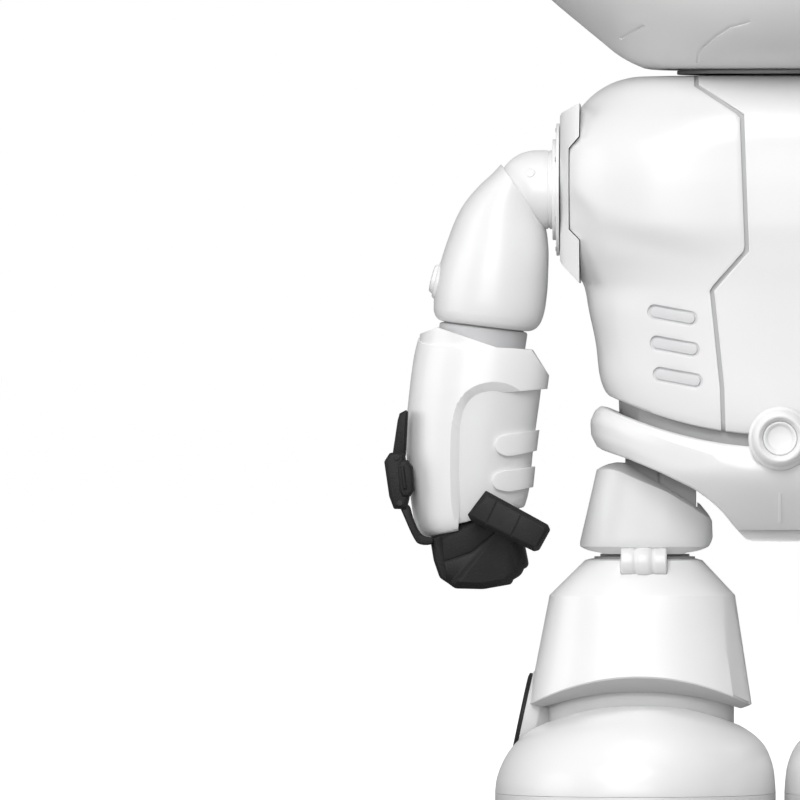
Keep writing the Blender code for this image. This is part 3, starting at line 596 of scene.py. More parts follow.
def build_torso():
    half_gap = GROOVE / 2
    middle = torso_panel("chest_center_panel_skin", lambda level: seam_angle(level, -1, -half_gap),
                         lambda level: seam_angle(level, 1, -half_gap))
    fit(soften(middle, 0.4), "torso", *SHELL, "chest_center_panel")

    plate = torso_panel("chest_plate_skin_right", lambda level: SHELL_SEAM - math.pi,
                        lambda level: seam_angle(level, -1, half_gap), columns=64)
    plate.data.materials.append(WHITE)
    for x, z in VENTS:
        turn = Matrix.Rotation(VENT_TURN, 4, "Z")
        place = Matrix.Translation(Vector((x, torso_surface_y(x, z), z)) * MM) @ turn
        # the cutter's grey passes to the vent floors as painted shade
        tool = extruded("vent", stadium((0, 0), 5.6, 2.25, VENT_TILT), "Y", -9, 0.95)
        tool.data.materials.append(VENT_SHADE_GREY)
        tool.data.transform(place)
        boolean(plate, tool)
        # the grille takes the same grey, painted shade in the vent
        grille = extruded(f"vent_grille_{int(z)}_right", stadium((0, 0), 5.45, 1.6, VENT_TILT), "Y", 0.35, 1.4)
        grille.data.transform(place)
        fit_pair(soften(grille, 0.25), "torso", "white_shell", VENT_SHADE_GREY)
    open_side(plate, 1)
    fit_pair(soften(plate, 0.4), "torso", *SHELL, "chest_plate_right")

    back = torso_panel("back_shell_skin", lambda level: SHELL_SEAM, lambda level: math.pi - SHELL_SEAM,
                       columns=96)
    for side in (1, -1):
        open_side(back, side)
    low, high = box_mm("battery_door")
    corners = rectangle(low.x, low.z, high.x, high.z)
    middle_z, room = 192, 1.02
    opening = rounded_outline([(x * room, (z - middle_z) * room + middle_z) for x, z in corners], 5)
    cut(back, opening, "Y", 20, 60)
    for row in range(4):
        for column in range(-4, 5):
            if abs(column) <= 4 - abs(row - 1.5) * 0.7:
                bore(back, [(0.9, 20), (0.9, 60)], (0, 1, 0), (column * 3.4, 0, 226.5 + row * 2.9), 12, 0.01)
    fit(soften(back), "torso", *SHELL, "back_shell")

    door = torso_panel("battery_door_skin", lambda level: DOOR_START, lambda level: math.pi - DOOR_START,
                       columns=48)
    cut(door, rounded_outline(corners, 4.4), "Y", 20, 60, "INTERSECT")
    cut(door, stadium((0, high.z - 5), 6, 1.6, 0), "Y", 36.2, 60)
    fit(soften(door), "torso", *SHELL, "battery_door")
    for side, word in SIDES:
        screw = screw_head(f"door_screw_{word}", (side * 18.6, 34.9, low.z + 4.4), (side * 0.25, 0.97, 0))
        fit(screw, "torso", "grey_plastic", STEEL)

    liner = loft("torso_liner", [torso_ring(level, LINER_DEPTH) for level in torso_levels(60)])
    for side in (1, -1):
        open_side(liner, side)
    fit(liner, "torso", "grey_plastic", LINER)


def build_waist():
    """The grey swivel collar that shows in the gap above the belt."""
    level = (*TORSO[0][:5], 1)
    rows = [lifted(torso_ring(level, inset), lift)
            for inset, lift in ((3.4, -9), (3, -5), (2.2, -4.6), (1.9, 3))]
    fit(loft("waist_collar_skin", rows), "torso", "grey_plastic", NECK, "waist_collar", smooth_angle=50)


def build_shoulder_mount():
    levels = [(z, 67.2, f, b, 3.5, fade) for z, _, f, b, _, fade in torso_levels(84) if 182.5 < z < 238.5]
    pod = loft("shoulder_pod_skin_right", [torso_ring(level, count=128) for level in levels])
    edge = [(p.x, p.y) for p in offset_line(POD_SEAM, -0.28)]
    outline = [(-59.98, 183.6), *edge[1:-1], (-59.98, 237.3), (-65.3, 234.4), (-65.8, 233.4), (-65.8, 190.4),
               (-65.3, 189.2)]
    cut(pod, outline, "Y", -60, 60, "INTERSECT")
    cut(pod, rounded_outline(rectangle(-30, 183, 30, 238), 10), "X", -70, -50, "INTERSECT")
    fit_pair(soften(pod, 0.6), "torso", *SHELL, "shoulder_pod_right")

    profile = [(19.8, 0), (19.8, 0.95), (15.9, 0.95), (15.9, 0.45), (15.1, 0.45), (15.1, 2.1), (12.9, 2.1),
               (12.9, 1.2)]
    ring = turned("shoulder_ring_skin_right", profile, (-1, 0, 0), (-66.1, 0, SHOULDER.z), rounding=0.25)
    fit_pair(ring, "torso", *SHELL, "shoulder_ring_right")
    for i in range(6):
        angle = math.radians(30 + 60 * i)
        spot = (-66.9, 17.8 * math.cos(angle), SHOULDER.z + 17.8 * math.sin(angle))
        fit_pair(screw_head(f"ring_screw_{i}_right", spot, (-1, 0, 0), 0.9), "torso", "grey_plastic", STEEL)


# ---- head

# (height, half width, depth in front, depth behind)
HEAD_STATIONS = np.array([
    (247.5, 36.8, 32, 32), (247.7, 39.6, 35.6, 35), (248.9, 43, 41.4, 39.6), (251.7, 48.2, 49.4, 46),
    (256.5, 54.2, 57.4, 53.2), (262.5, 61.5, 63.6, 59.4), (268.5, 68.6, 67.8, 64.4), (276, 76, 71.4, 69),
    (284, 81.8, 73.8, 72.4), (294, 85.6, 75.6, 75), (305, 87, 76, 76), (317, 85.8, 75.2, 75.2),
    (329, 81.4, 71.6, 71.6), (340, 73.6, 65, 65), (350, 62, 54.8, 54.8), (357.5, 48, 42.4, 42.4),
    (362.2, 31.5, 28, 28), (364.4, 15, 13.4, 13.4), (365, 0.15, 0.15, 0.15),
])
HEAD_SQUARENESS = 2.15
VISOR_Z = 311
EYE_X = 27
EAR_Z = 305
VISOR_START = 0.4     # plan angle at which the visor's blank starts
HEAD_SEAM = 0.004     # half the gap between the front and back shells, as a plan angle


def head_point(level, angle, inset=0.0):
    z, half_width, depth_front, depth_back = level
    c, s = unit_outline(angle, HEAD_SQUARENESS)
    reach = max(0.02, half_width - inset) / half_width
    pull = np.clip((z - 306) / 59, -1, 1) * inset
    depth = depth_front if s < 0 else depth_back
    return Vector((half_width * reach * c, depth * reach * s, z - pull))


def head_half(name, start, end, inset=0.0, columns=96):
    rows = [[head_point(level, start + (end - start) * j / (columns - 1), inset) for j in range(columns)]
            for level in spread(HEAD_STATIONS, 3, 72)]
    return open_shell(name, rows, (0, 0, 300), 2.4)


def head_surface(x, z):
    """(point, outward normal) of the head's front at a front-view point."""
    def y_at(x, z):
        half_width, depth = (np.interp(z, HEAD_STATIONS[:, 0], HEAD_STATIONS[:, i]) for i in (1, 2))
        share = min(0.999, abs(x) / half_width)
        return -depth * (1 - share ** HEAD_SQUARENESS) ** (1 / HEAD_SQUARENESS)
    step = 0.2
    dx = (y_at(x + step, z) - y_at(x - step, z)) / (2 * step)
    dz = (y_at(x, z + step) - y_at(x, z - step)) / (2 * step)
    return Vector((x, y_at(x, z), z)), Vector((dx, -1, dz)).normalized()


def visor_outline(shrink, count=72):
    angle = np.arange(count) * math.tau / count
    c, s = unit_outline(angle, 3.4)
    return [((62 - shrink) * a, VISOR_Z + (29.6 - shrink) * b) for a, b in zip(c, s)]


def build_head():
    front = head_half("head_front_skin", -math.pi + HEAD_SEAM, -HEAD_SEAM, columns=120)
    cut(front, visor_outline(0), "Y", -100, -20)
    for side in (-1, 1):
        for points in (((47.7, 256.4), (44, 258.4), (40.5, 260.2)),
                       ((24.6, 249), (24.3, 251.6), (23.4, 253.5), (19, 256.8), (15, 259.4), (9, 261))):
            path = [head_surface(side * x, z) for x, z in points]
            boolean(front, groove_tool("panel_line", path, 0.9, 0.22))
    fit(soften(front, 0.4), "head", *SHELL, "head_front_shell")

    back = head_half("head_back_skin", HEAD_SEAM, math.pi - HEAD_SEAM, columns=120)
    for row in range(3):
        cut(back, stadium((0, 276 + 6 * row), 14 - 3 * row, 1.3, 0), "Y", 40, 90)
    fit(soften(back, 0.4), "head", *SHELL, "head_back_shell")
    rows = [[head_point(level, math.tau * j / 96, 3.2) for j in range(96)]
            for level in spread(HEAD_STATIONS, 3, 40)]
    fit(loft("head_liner", rows), "head", "dark_joint", LINER)

    visor = head_half("face_visor_skin", -math.pi + VISOR_START, -VISOR_START, inset=0.9)
    cut(visor, visor_outline(0.5), "Y", -100, -20, "INTERSECT")
    for side in (-1, 1):
        bore(visor, [(9.6, 0), (9.6, 30)], (0, -1, 0), (side * EYE_X, -58, VISOR_Z), 64, 0.01)
    fit(soften(visor, 0.5), "head", "smoked_visor", VISOR, "face_visor")
    for side, word in SIDES:
        spot = (side * EYE_X, -66.4, VISOR_Z)
        eye = turned(f"eye_lens_{word}", [(8, 0), (8, 6.2), (6.4, 7.7), (3.4, 8.4)], (0, -1, 0), spot, 64, 2)
        fit(eye, "head", "eye_lens", LENS, f"eye_{word}")
        bezel = turned(f"eye_bezel_{word}", [(9.3, 0), (9.3, 6.6), (8.7, 7.6), (8.3, 7), (8.3, 0)], (0, -1, 0),
                       spot, 64, 0.3)
        fit(bezel, "head", "grey_plastic", GREY)
    outer_x = box_mm("ear_disc_right")[0].x
    profile = [(20, 0), (20, 3.2), (17, 5.5), (15.2, 5.5), (13.6, 4), (6, 4), (4.6, 3.4)]
    ear = turned("ear_disc_skin_right", profile, (-1, 0, 0), (outer_x + 5.5, 0, EAR_Z), rounding=0.9)
    for i in range(3):
        angle = math.radians(90 + 120 * i)
        middle = (9.6 * math.cos(angle), EAR_Z + 9.6 * math.sin(angle))
        cut(ear, stadium(middle, 3, 0.8, angle + math.pi / 2), "X", outer_x - 2, outer_x + 3)
    fit_pair(ear, "head", *SHELL, "ear_disc_right")
    neck = turned("neck_swivel_skin", [(12.4, -14), (12.4, 0.35), (30.9, 0.35), (30.9, 1.5), (22, 1.5)],
                  (0, 0, 1), (0, 0, NECK_TOP), rounding=0.3)
    fit(neck, "head", "dark_joint", SWIVEL, "neck_swivel")


# ---- pelvis

BUCKLE_Z = joint_mm("waist_yaw").z
# (x, z) of the pelvis's lower edge in front view, from the crotch to the belt's end
HIP_ARCH = [(0, 106.3), (9.6, 106.5), (11.4, 108.2), (14.1, 111.4), (16.4, 114.5), (20.1, 118.2), (25.6, 122.2),
            (36.2, 127.3), (46.3, 131.4), (54.4, 134), (58, 135.2)]


def belt_top(x):
    return 134.3 + WAIST_DROP * (min(abs(x), 54) / 51.4) ** 2


def pelvis_tuck(z):
    """Share of the belt's depth that is left at a height below it."""
    return 1 - 0.46 * max(0, (128 - z) / 21.7) ** 1.5


def pelvis_ring(share, inset=0.0, count=160):
    """A ring of the pelvis: share 0 is the underside's edge, 0.8 the belt's widest line and 1 its top edge."""
    half_width = np.interp(share, (0, 0.25, 0.6, 0.85, 1), (54.6, 56.6, 56.9, 55.6, 53.4)) - inset
    ring = []
    for p in ring_at(-half_width, half_width, -41 + inset, 38.5 - inset, 2.5, 0, count):
        p.z = np.interp(share, (0, 1), (value_on(HIP_ARCH, abs(p.x)), belt_top(p.x)))
        p.y *= pelvis_tuck(p.z) * np.interp(share, (0, 0.8, 1), (0.985, 1, 0.955))
        ring.append(p)
    return ring


def build_pelvis():
    rows = [pelvis_ring(0, 3), pelvis_ring(0, 1.2)]
    rows += [pelvis_ring(share)
             for share in (0.035, 0.1, 0.18, 0.27, 0.36, 0.45, 0.54, 0.63, 0.72, 0.8, 0.86, 0.91, 0.95, 0.98)]
    rows += [lifted(pelvis_ring(1, inset), height)
             for inset, height in ((0.5, 0), (1.5, 0.3), (2.4, 0), (2.9, -5), (5, -6.6))]
    pelvis = loft("pelvis_shell_skin", rows)
    low, high = box_mm("hip_drum_right")
    for side in (-1, 1):
        centre = (side * (low.x + high.x) / 2, 0, (low.z + high.z) / 2)
        bore(pelvis, [(13, -11.6), (13, 11.6)], (1, 0, 0), centre, 64, 0.01)
    cut(pelvis, [(-46.2, 100), (-23.6, 100), (-19, 111), (-46.2, 107)], "X", -13.4, 13.4)
    fit(soften(pelvis, 0.5, angle=30), "pelvis", *SHELL, "pelvis_shell", smooth_angle=35)

    rib = ring_at(-0.55, 0.55, -0.5, 0.5, 2.2, 0, 24)
    rows = [[Vector((p.x, -40.6 * pelvis_tuck(z) + p.y, z)) for p in rib] for z in np.linspace(121, 112, 8)]
    fit(loft("pelvis_rib", rows), "pelvis", *SHELL)

    seat = (0, box_mm("buckle_ring")[1].y - 0.1, BUCKLE_Z)
    profile = [(9.1, 0), (9.45, 0.4), (9.45, 1.6), (8.5, 2.3), (8.3, 3), (7.9, 4.3), (7, 5.2), (6.2, 5.2),
               (5.6, 4.4), (5.1, 3.6), (5.06, 0.2)]
    ring = turned("buckle_ring_skin", profile, (0, -1, 0), seat, rounding=0.6)
    fit(ring, "pelvis", *SHELL, "buckle_ring")
    button = turned("power_button_skin", [(5.03, 1.5), (5.03, 3.7), (4.5, 3.8), (4, 3.5), (3.6, 3), (1.6, 2.9)],
                    (0, -1, 0), seat, rounding=0.5)
    fit(button, "button", *SHELL, "power_button")


# ---- arm

BALL_RADIUS = 11.8
CUP_NORMAL = Vector((0.819, 0, 0.574))   # the arm's slanted upper rim faces the body
CUP_OFFSET = 4.4                         # rim plane to the ball's centre
ELBOW = joint_mm("forearm_twist_right")
TWIST = Vector(JOINTS["forearm_twist_right"]["axis"]).normalized()


def sphere_profile(radius, centre, low, high, steps=24):
    """(radius, along) points of a sphere's outline between two distances along the axis."""
    return [(math.sqrt(max(0, radius ** 2 - (a - centre) ** 2)) + 0.001, a)
            for a in np.linspace(low, high, steps)]


def half_space(name, point, normal):
    """A big block on the side of a plane that its normal points to."""
    turn = turn_to(normal)
    rows = [[point + turn @ Vector((x, y, z)) for x, y in rectangle(-60, -60, 60, 60)] for z in (0, 80)]
    return loft(name, rows)


def outwards(degrees):
    """A direction to the robot's right that points up by an angle."""
    return Vector((-math.cos(math.radians(degrees)), 0, math.sin(math.radians(degrees))))


def build_upper_arm():
    start = 66.4
    ball_x = -SHOULDER.x - start
    groove = BALL_RADIUS - 0.35
    profile = [(BALL_RADIUS, 0), (BALL_RADIUS, 2.6), (groove, 2.75), (groove, 3.05), (BALL_RADIUS, 3.2),
               (BALL_RADIUS, ball_x)]
    profile += sphere_profile(BALL_RADIUS, ball_x, ball_x + 0.4, ball_x + BALL_RADIUS - 0.05)
    ball = turned("shoulder_ball_skin_right", profile, (-1, 0, 0), (-start, 0, SHOULDER.z), rounding=0.08)
    fit_pair(ball, "shoulder_right", *SHELL, "shoulder_ball_right")
    pin_x, pin_z = -1.7, 5
    pin_axis = Vector((pin_x, -math.sqrt(BALL_RADIUS ** 2 - pin_x ** 2 - pin_z ** 2), pin_z))
    pin = turned("shoulder_pin_right", [(1.5, -0.6), (1.5, 0.15), (0.9, 0.4)], pin_axis, SHOULDER + pin_axis,
                 32, 0.2)
    fit_pair(pin, "shoulder_right", *SHELL)

    # (height, outer side, inner side, half depth, squareness)
    table = [(170.5, -100.6, -77.2, 13.2, 2.2), (170.7, -102, -75.4, 14.6, 2.2),
             (171.8, -103.3, -73.2, 15.8, 2.2), (174, -103.9, -71.6, 16.6, 2.2), (178, -103.8, -70.4, 17.1, 2.2),
             (185, -102.9, -69.6, 17.3, 2.2), (192, -101.2, -69.4, 17, 2.15), (197, -99.5, -69.7, 16.4, 2.1),
             (202.5, -97.4, -70.8, 15.6, 2.1), (207, -95, -71.6, 14.9, 2.1), (212.7, -90.3, -72.6, 14, 2.1),
             (216.5, -86.2, -74, 12.6, 2.1), (219.6, -83.2, -76, 8, 2), (220.4, -81.8, -78, 3, 2)]
    stations = [(z, a, b, -d, d, squareness) for z, a, b, d, squareness in table]
    slant = lambda x, y, h: -0.124 * (x + 88) * (1 - smoothstep(171, 192, h))
    arm = loft("upper_arm_skin_right", rings_through(stations, rows=56, columns=80, rise=slant))
    boolean(arm, half_space("rim_cut", SHOULDER - CUP_NORMAL * CUP_OFFSET, CUP_NORMAL))
    room = BALL_RADIUS + 0.24
    bore(arm, sphere_profile(room + 0.01, 0, -room, room, 40), (-1, 0, 0), SHOULDER)
    bore(arm, [(12.6, -6), (12.6, 5.5)], TWIST, ELBOW, 64)
    fit_pair(soften(arm, 0.35), "upper_arm_right", *SHELL, "upper_arm_right", smooth_angle=35)

    axis, spot = outwards(14.3), (-102.2, 0, 184.5)
    profile = [(5.8, -2), (5.8, 0.5), (5.2, 1.1), (4.5, 1.1), (4.3, 1.6), (3.9, 2.3), (2.2, 2.5)]
    cap = turned("elbow_cap_skin_right", profile, axis, spot, 64, 0.3)
    bore(cap, [(1.3, 1.4), (1.3, 5)], axis, spot, 6)
    fit_pair(cap, "upper_arm_right", *SHELL, "elbow_cap_right")

    profile = [(11.6, -11), (12.3, -9.8), (13.1, -4), (13.25, 0.2), (13.25, 1.5), (12.7, 1.9), (12, 1.9),
               (12, 3.8), (4, 3.8)]
    neck = turned("elbow_neck_skin_right", profile, TWIST, ELBOW, rounding=0.3)
    fit_pair(neck, "forearm_right", "grey_plastic", GREY, "elbow_neck_right")


# (x, z) of the window's edge on the gauntlet's surface, and at the foot of its chamfer
WINDOW_OUTER = [(-60, 155.6), (-69.9, 155.2), (-81.5, 154.3), (-89.5, 152.7), (-94.1, 150.1), (-96.8, 146.6),
                (-98.3, 140.5), (-98.9, 130.9), (-99.3, 123.4), (-99.9, 115.4), (-100.1, 107.7), (-100.3, 98)]
WINDOW_INNER = [(-60, 152.2), (-70.5, 151.8), (-81.1, 150.9), (-87.2, 150.1), (-91.1, 148.5), (-93.3, 145.8),
                (-94.5, 140.9), (-94.9, 132.8), (-95.3, 124.5), (-95.8, 116.4), (-96.3, 109.5), (-96.6, 98)]
COLLAR_PEAK = Vector((-102.7, 0, 170.4))   # the lip round the elbow neck is highest on its outer side
COLLAR_SLOPES = (0.34, -0.4)
RIBS = [[(-62, 140.8), (-82, 138.3), (-84.6, 137.3), (-85.4, 135.2), (-84.4, 132.8), (-81.4, 131.6), (-62, 135.6)],
        [(-62, 130), (-82.4, 127.5), (-85.4, 126.5), (-86.3, 124.4), (-85.2, 122), (-81.4, 121), (-62, 124.7)]]


def gauntlet_rings(inset, top, columns=96):
    """Rings of the forearm's outer surface, or of one set in from it."""
    # (height at the outer side, outer side, inner side, half depth)
    stations = [(107.2, -104.4, -80, 12.4), (107.9, -106.6, -76.8, 14.3), (109.6, -108.3, -75, 15.3),
                (112.6, -109.5, -74.2, 16.1), (118.6, -110.7, -73.6, 16.7), (126, -111.6, -72.9, 17.1),
                (134, -112.1, -72.1, 17.3), (142, -112, -71.1, 17.4), (150, -111.3, -70, 17.4),
                (156, -110.6, -69.4, 17.2), (162, -109.7, -69, 16.9), (top, -108.6, -68.6, 16.4)]
    def lift(x, y, height):
        low = 0.26 * (x + 104.5) * (1 - smoothstep(107.2, 124, height))
        high = (-0.09 * (x + 108) + 1.4 * np.clip(y / 10, -1, 1) * np.clip((-80 - x) / 28, 0, 1))
        return low + high * smoothstep(150, 164, height)
    rows = [(z + (inset if z < 109 else 0), a + inset, b - inset, -d + inset, d - inset, 2.35)
            for z, a, b, d in stations]
    return rings_through(rows, rows=44, columns=columns, rise=lift)


def build_forearm():
    shell = loft("forearm_shell_skin_right", gauntlet_rings(0, 166.6))
    boolean(shell, loft("hollow", gauntlet_rings(2.2, 176, 64)))
    inner = smooth_line(WINDOW_INNER, 47)
    flared = [tuple(Vector(i) + (Vector(o) - Vector(i)) * 6)
              for o, i in zip(smooth_line(WINDOW_OUTER, 47), inner)]
    window = [[Vector((x, y, z)) for x, z in [*line, (-60, 98)]]
              for y, line in ((-28, flared), (-14.6, inner), (14.6, inner), (28, flared))]
    boolean(shell, prism("window", window))
    cut(shell, [(-69.4, 156), (-75, 164.6), (-80, 173), (-55, 173), (-55, 156)], "Y", -40, 40)
    fit_pair(soften(shell, 0.4, angle=30), "forearm_right", *SHELL, "forearm_shell_right", smooth_angle=35)

    core = loft("forearm_core_skin_right", gauntlet_rings(1.9, 163))
    cut(core, [(-64, 152.6), (-70.3, 155.6), (-76, 164.6), (-81, 173), (-55, 173), (-55, 152.6)], "Y", -40, 40)
    # the core's darker white is painted shade of the recess
    fit_pair(soften(core, 0.4), "forearm_right", "white_shell", CORE_SHADED_WHITE, "forearm_core_right")

    collar = loft("gauntlet_collar_right", gauntlet_rings(1, 172))
    boolean(collar, half_space("collar_foot", Vector((-89, 0, 160)), Vector((0, 0, -1))))
    boolean(collar, half_space("collar_side", Vector((-80, 0, 165)), Vector((1, 0, 0))))
    for slope in COLLAR_SLOPES:
        boolean(collar, half_space("collar_top", COLLAR_PEAK, Vector((slope, 0, 1)).normalized()))
    bore(collar, [(13.45, -20), (13.45, 12)], TWIST, ELBOW)
    fit_pair(soften(collar, 0.5, angle=30), "forearm_right", *SHELL)
    for number, outline in enumerate(RIBS, 1):
        rib = loft(f"forearm_rib_{number}_right", gauntlet_rings(0.75, 162))
        cut(rib, rounded_outline(outline, 1.6), "Y", -40, 40, "INTERSECT")
        fit_pair(soften(rib, 0.6, angle=30), "forearm_right", *SHELL)


def build_hand():
    palm_outline = [(-104.9, 107), (-104.5, 105.3), (-103.7, 100.5), (-101.9, 95.3), (-99.3, 93.6), (-97.3, 92.1),
                    (-88.8, 91.9), (-80.4, 93.4), (-80.2, 94.5), (-77.6, 96.1), (-76.8, 98), (-75.8, 98.3),
                    (-75.5, 99.3), (-76.6, 104.9), (-77.2, 115.4), (-92, 113.6), (-98, 110.6)]
    middle = Vector((-89.5, 102))
    half = [(12.6, 0.80), (11.6, 0.94), (10.8, 0.985), (9.6, 1), (4.3, 1), (4, 0.965), (3.6, 0.965), (3.3, 1)]
    outline = rounded_outline(palm_outline, 0.7, 2)
    rows = [[(middle.x + (x - middle.x) * grow, y, middle.y + (z - middle.y) * grow) for x, z in outline]
            for y, grow in [*((-y, grow) for y, grow in half), *half[::-1]]]
    palm = prism("palm_skin_right", rows)
    cut(palm, [(-110, 112), (-101.2, 107.2), (-99.6, 92), (-100.5, 85), (-112, 85)], "Y", -20, -11.6)
    crease = [(-105, 99), (-92.5, 103.2), (-84, 110.5), (-83.2, 110.5), (-92.1, 102.6), (-105, 98.3)]
    cut(palm, crease, "Y", -20, -12.2)
    fit_pair(soften(palm, 0.3, 2, 30), "forearm_right", *HAND, "palm_right", smooth_angle=30)

    bar = [(-87.9, 121.6), (-69.3, 111.4), (-68.6, 109.8), (-71.9, 103.8), (-73.4, 103.4), (-92.4, 112.7),
           (-93.3, 114.4)]
    thumb = pad("thumb_skin_right", bar, -24.6, -17.8, 1.3)
    for x in (-74.4, -83.6):
        cut(thumb, [(x, 121), (x + 0.5, 120.7), (x - 8, 103.2), (x - 8.5, 103.5)], "Y", -26, -24.25)
    fit_pair(thumb, "thumb_right", *HAND, "thumb_right", smooth_angle=30)
    post = turned("thumb_post_right", [(2.3, -2.6), (2.3, 6)], (0, 1, 0), (-88, -20, 113.6), 64, 0.2)
    fit_pair(post, "thumb_right", *HAND)

    band = [(-114.2, 117.6), (-113.3, 115.6), (-109.4, 106.6), (-107.7, 105.2), (-104.2, 105.2), (-103.4, 106.4),
            (-104, 107.4), (-106.1, 107.6), (-108, 108.9), (-109.9, 113.3), (-110.9, 117.6)]
    link = pad("finger_link_skin_right", smooth_closed(band), -15.4, -7.6, 0.4, 0.15)
    fit_pair(link, "finger_right", *HAND, "finger_link_right", smooth_angle=30)

    strap = [(-116.7, 132.8), (-118.4, 130.2), (-116.9, 119.8), (-115.5, 116), (-111.7, 115.9), (-110.9, 119.2),
             (-111.7, 128.5), (-112.3, 132.8)]
    block = [(-113.6, 130.6), (-111.4, 130.6), (-109.8, 128.4), (-109.3, 121.6), (-110.9, 119.5), (-112.9, 119.5),
             (-113.9, 121.2), (-114.4, 129)]
    ridge = [(-113.5, 128.9), (-112.3, 128.9), (-111.5, 121.9), (-112.7, 121.9)]
    nail = [(-116, 131.8), (-114.4, 142.5), (-113.8, 144.6), (-111.9, 145.6), (-111.3, 144.9), (-112, 131.8)]
    tip = pad("finger_tip_skin_right", strap, -16.6, -6.4, 0.8)
    fit_pair(tip, "fingertip_right", *HAND, "finger_tip_right", smooth_angle=30)
    for name, outline, front, back, chamfer in (("block", block, -17.2, -8.4, 0.7),
                                                ("ridge", ridge, -17.9, -16, 0.3),
                                                ("nail", nail, -14.8, -8.2, 0.6)):
        piece = pad(f"finger_{name}_right", outline, front, back, chamfer, 0.2)
        fit_pair(piece, "fingertip_right", *HAND, smooth_angle=30)
    knuckle = joint_mm("finger_knuckle_right")
    for number, (x, z) in enumerate(((-114.6, 131.5), (knuckle.x, knuckle.z)), 1):
        pin = turned(f"finger_pin_{number}_right", [(0.9, -17), (0.9, -6)], (0, 1, 0), (x, 0, z), 24, 0.1)
        fit_pair(pin, "fingertip_right", *HAND)


# ---- leg

KNEE = joint_mm("knee_bend_right")
# (radius, distance along the axle) of the knee's barrel
KNEE_HALF = [(3.7, -6.9), (4.1, -6.5), (4.1, -3.4), (3.8, -2.7), (3.95, -2.3), (4.4, -1.5)]
KNEE_BARREL = [*KNEE_HALF, (4.5, 0), *((radius, -along) for radius, along in KNEE_HALF[::-1])]
# (x, z) of the thigh's slanted upper edge, and of the crown that its top rises to
THIGH_EDGE = [(-62, 126.6), (-55, 127.6), (-51, 127.9), (-48, 127.2), (-44, 125.4), (-33.9, 121.2),
              (-26.1, 116.4), (-22, 113.6), (-20, 111.9)]
THIGH_CROWN = [(-52, 129.2), (-49, 129.8), (-46.3, 129.6), (-25.3, 118.2), (-22.5, 116.2)]
SHIN_X = -42
ANKLE_AXIS, ANKLE_SPOT = outwards(12), (-77.4, 4, 51.9)   # the disc on the outside of the ankle


def build_thigh():
    low, high = box_mm("hip_drum_right")
    middle_z = (low.z + high.z) / 2
    profile = [(12, 0), (12, 9.8), (11.5, 10.1), (11.5, 11), (12, 11.3), (12, high.x - low.x)]
    drum = turned("hip_drum_skin_right", profile, (1, 0, 0), (low.x, 0, middle_z), rounding=0.3)
    fit_pair(drum, "thigh_right", "dark_joint", NECK, "hip_drum_right")

    foot_z = 104.7
    rows = [ring_at(-58.6, -23.1, -13.4, 13.4, 3, 102.5, 96), ring_at(-60.3, -20.9, -16.6, 16.6, 3, foot_z, 96)]
    for share in np.linspace(0.08, 1, 16):
        left = np.interp(share, (0, 1), (-60.3, -55))
        right = np.interp(share, (0, 0.36, 1), (-20.9, -20.2, -20.4))
        ring = ring_at(left, right, -16.8, 16.8, 3, 0, 96)
        rows.append([Vector((p.x, p.y, foot_z + (value_on(THIGH_EDGE, p.x) - foot_z) * share)) for p in ring])
    for share, inset in ((0.35, 1), (0.7, 2.1), (1, 3.4)):
        ring = ring_at(-55 + inset, -20.4 - inset, -16.8 + 2.2 * inset, 16.8 - 2.2 * inset, 2.8, 0, 96)
        for p in ring:
            p.z = np.interp(share, (0, 1), (value_on(THIGH_EDGE, p.x), value_on(THIGH_CROWN, p.x)))
        rows.append(ring)
    thigh = loft("thigh_skin_right", rows)
    bore(thigh, [(12.4, low.x - 0.4), (12.4, high.x + 0.4)], (1, 0, 0), (0, 0, middle_z))
    cut(thigh, [(-12, 102.9), (30, 118.2), (30, 95), (-12, 95)], "X", -80, 0)
    thigh = soften(thigh, 0.45, angle=30)
    # the thigh's darker white is painted shade
    fit_pair(thigh, "thigh_right", "white_shell", THIGH_SHADED_WHITE, "thigh_right", smooth_angle=32)

    hinge = turned("knee_hinge_skin_right", KNEE_BARREL, (1, 0, 0), KNEE, 64, 0.5)
    for side in (-1, 1):
        bore(hinge, [(1.4, 5.7), (1.4, 9)], (side, 0, 0), KNEE, 6)
    fit_pair(hinge, "thigh_right", *SHELL, "knee_hinge_right")


def cuff(x, middle, side):
    """Height of the arched lower edge of the shin, from its height in the middle and at the sides."""
    return middle + (side - middle) * np.minimum(1.2, np.abs((x - SHIN_X) / 33.4)) ** 2.1


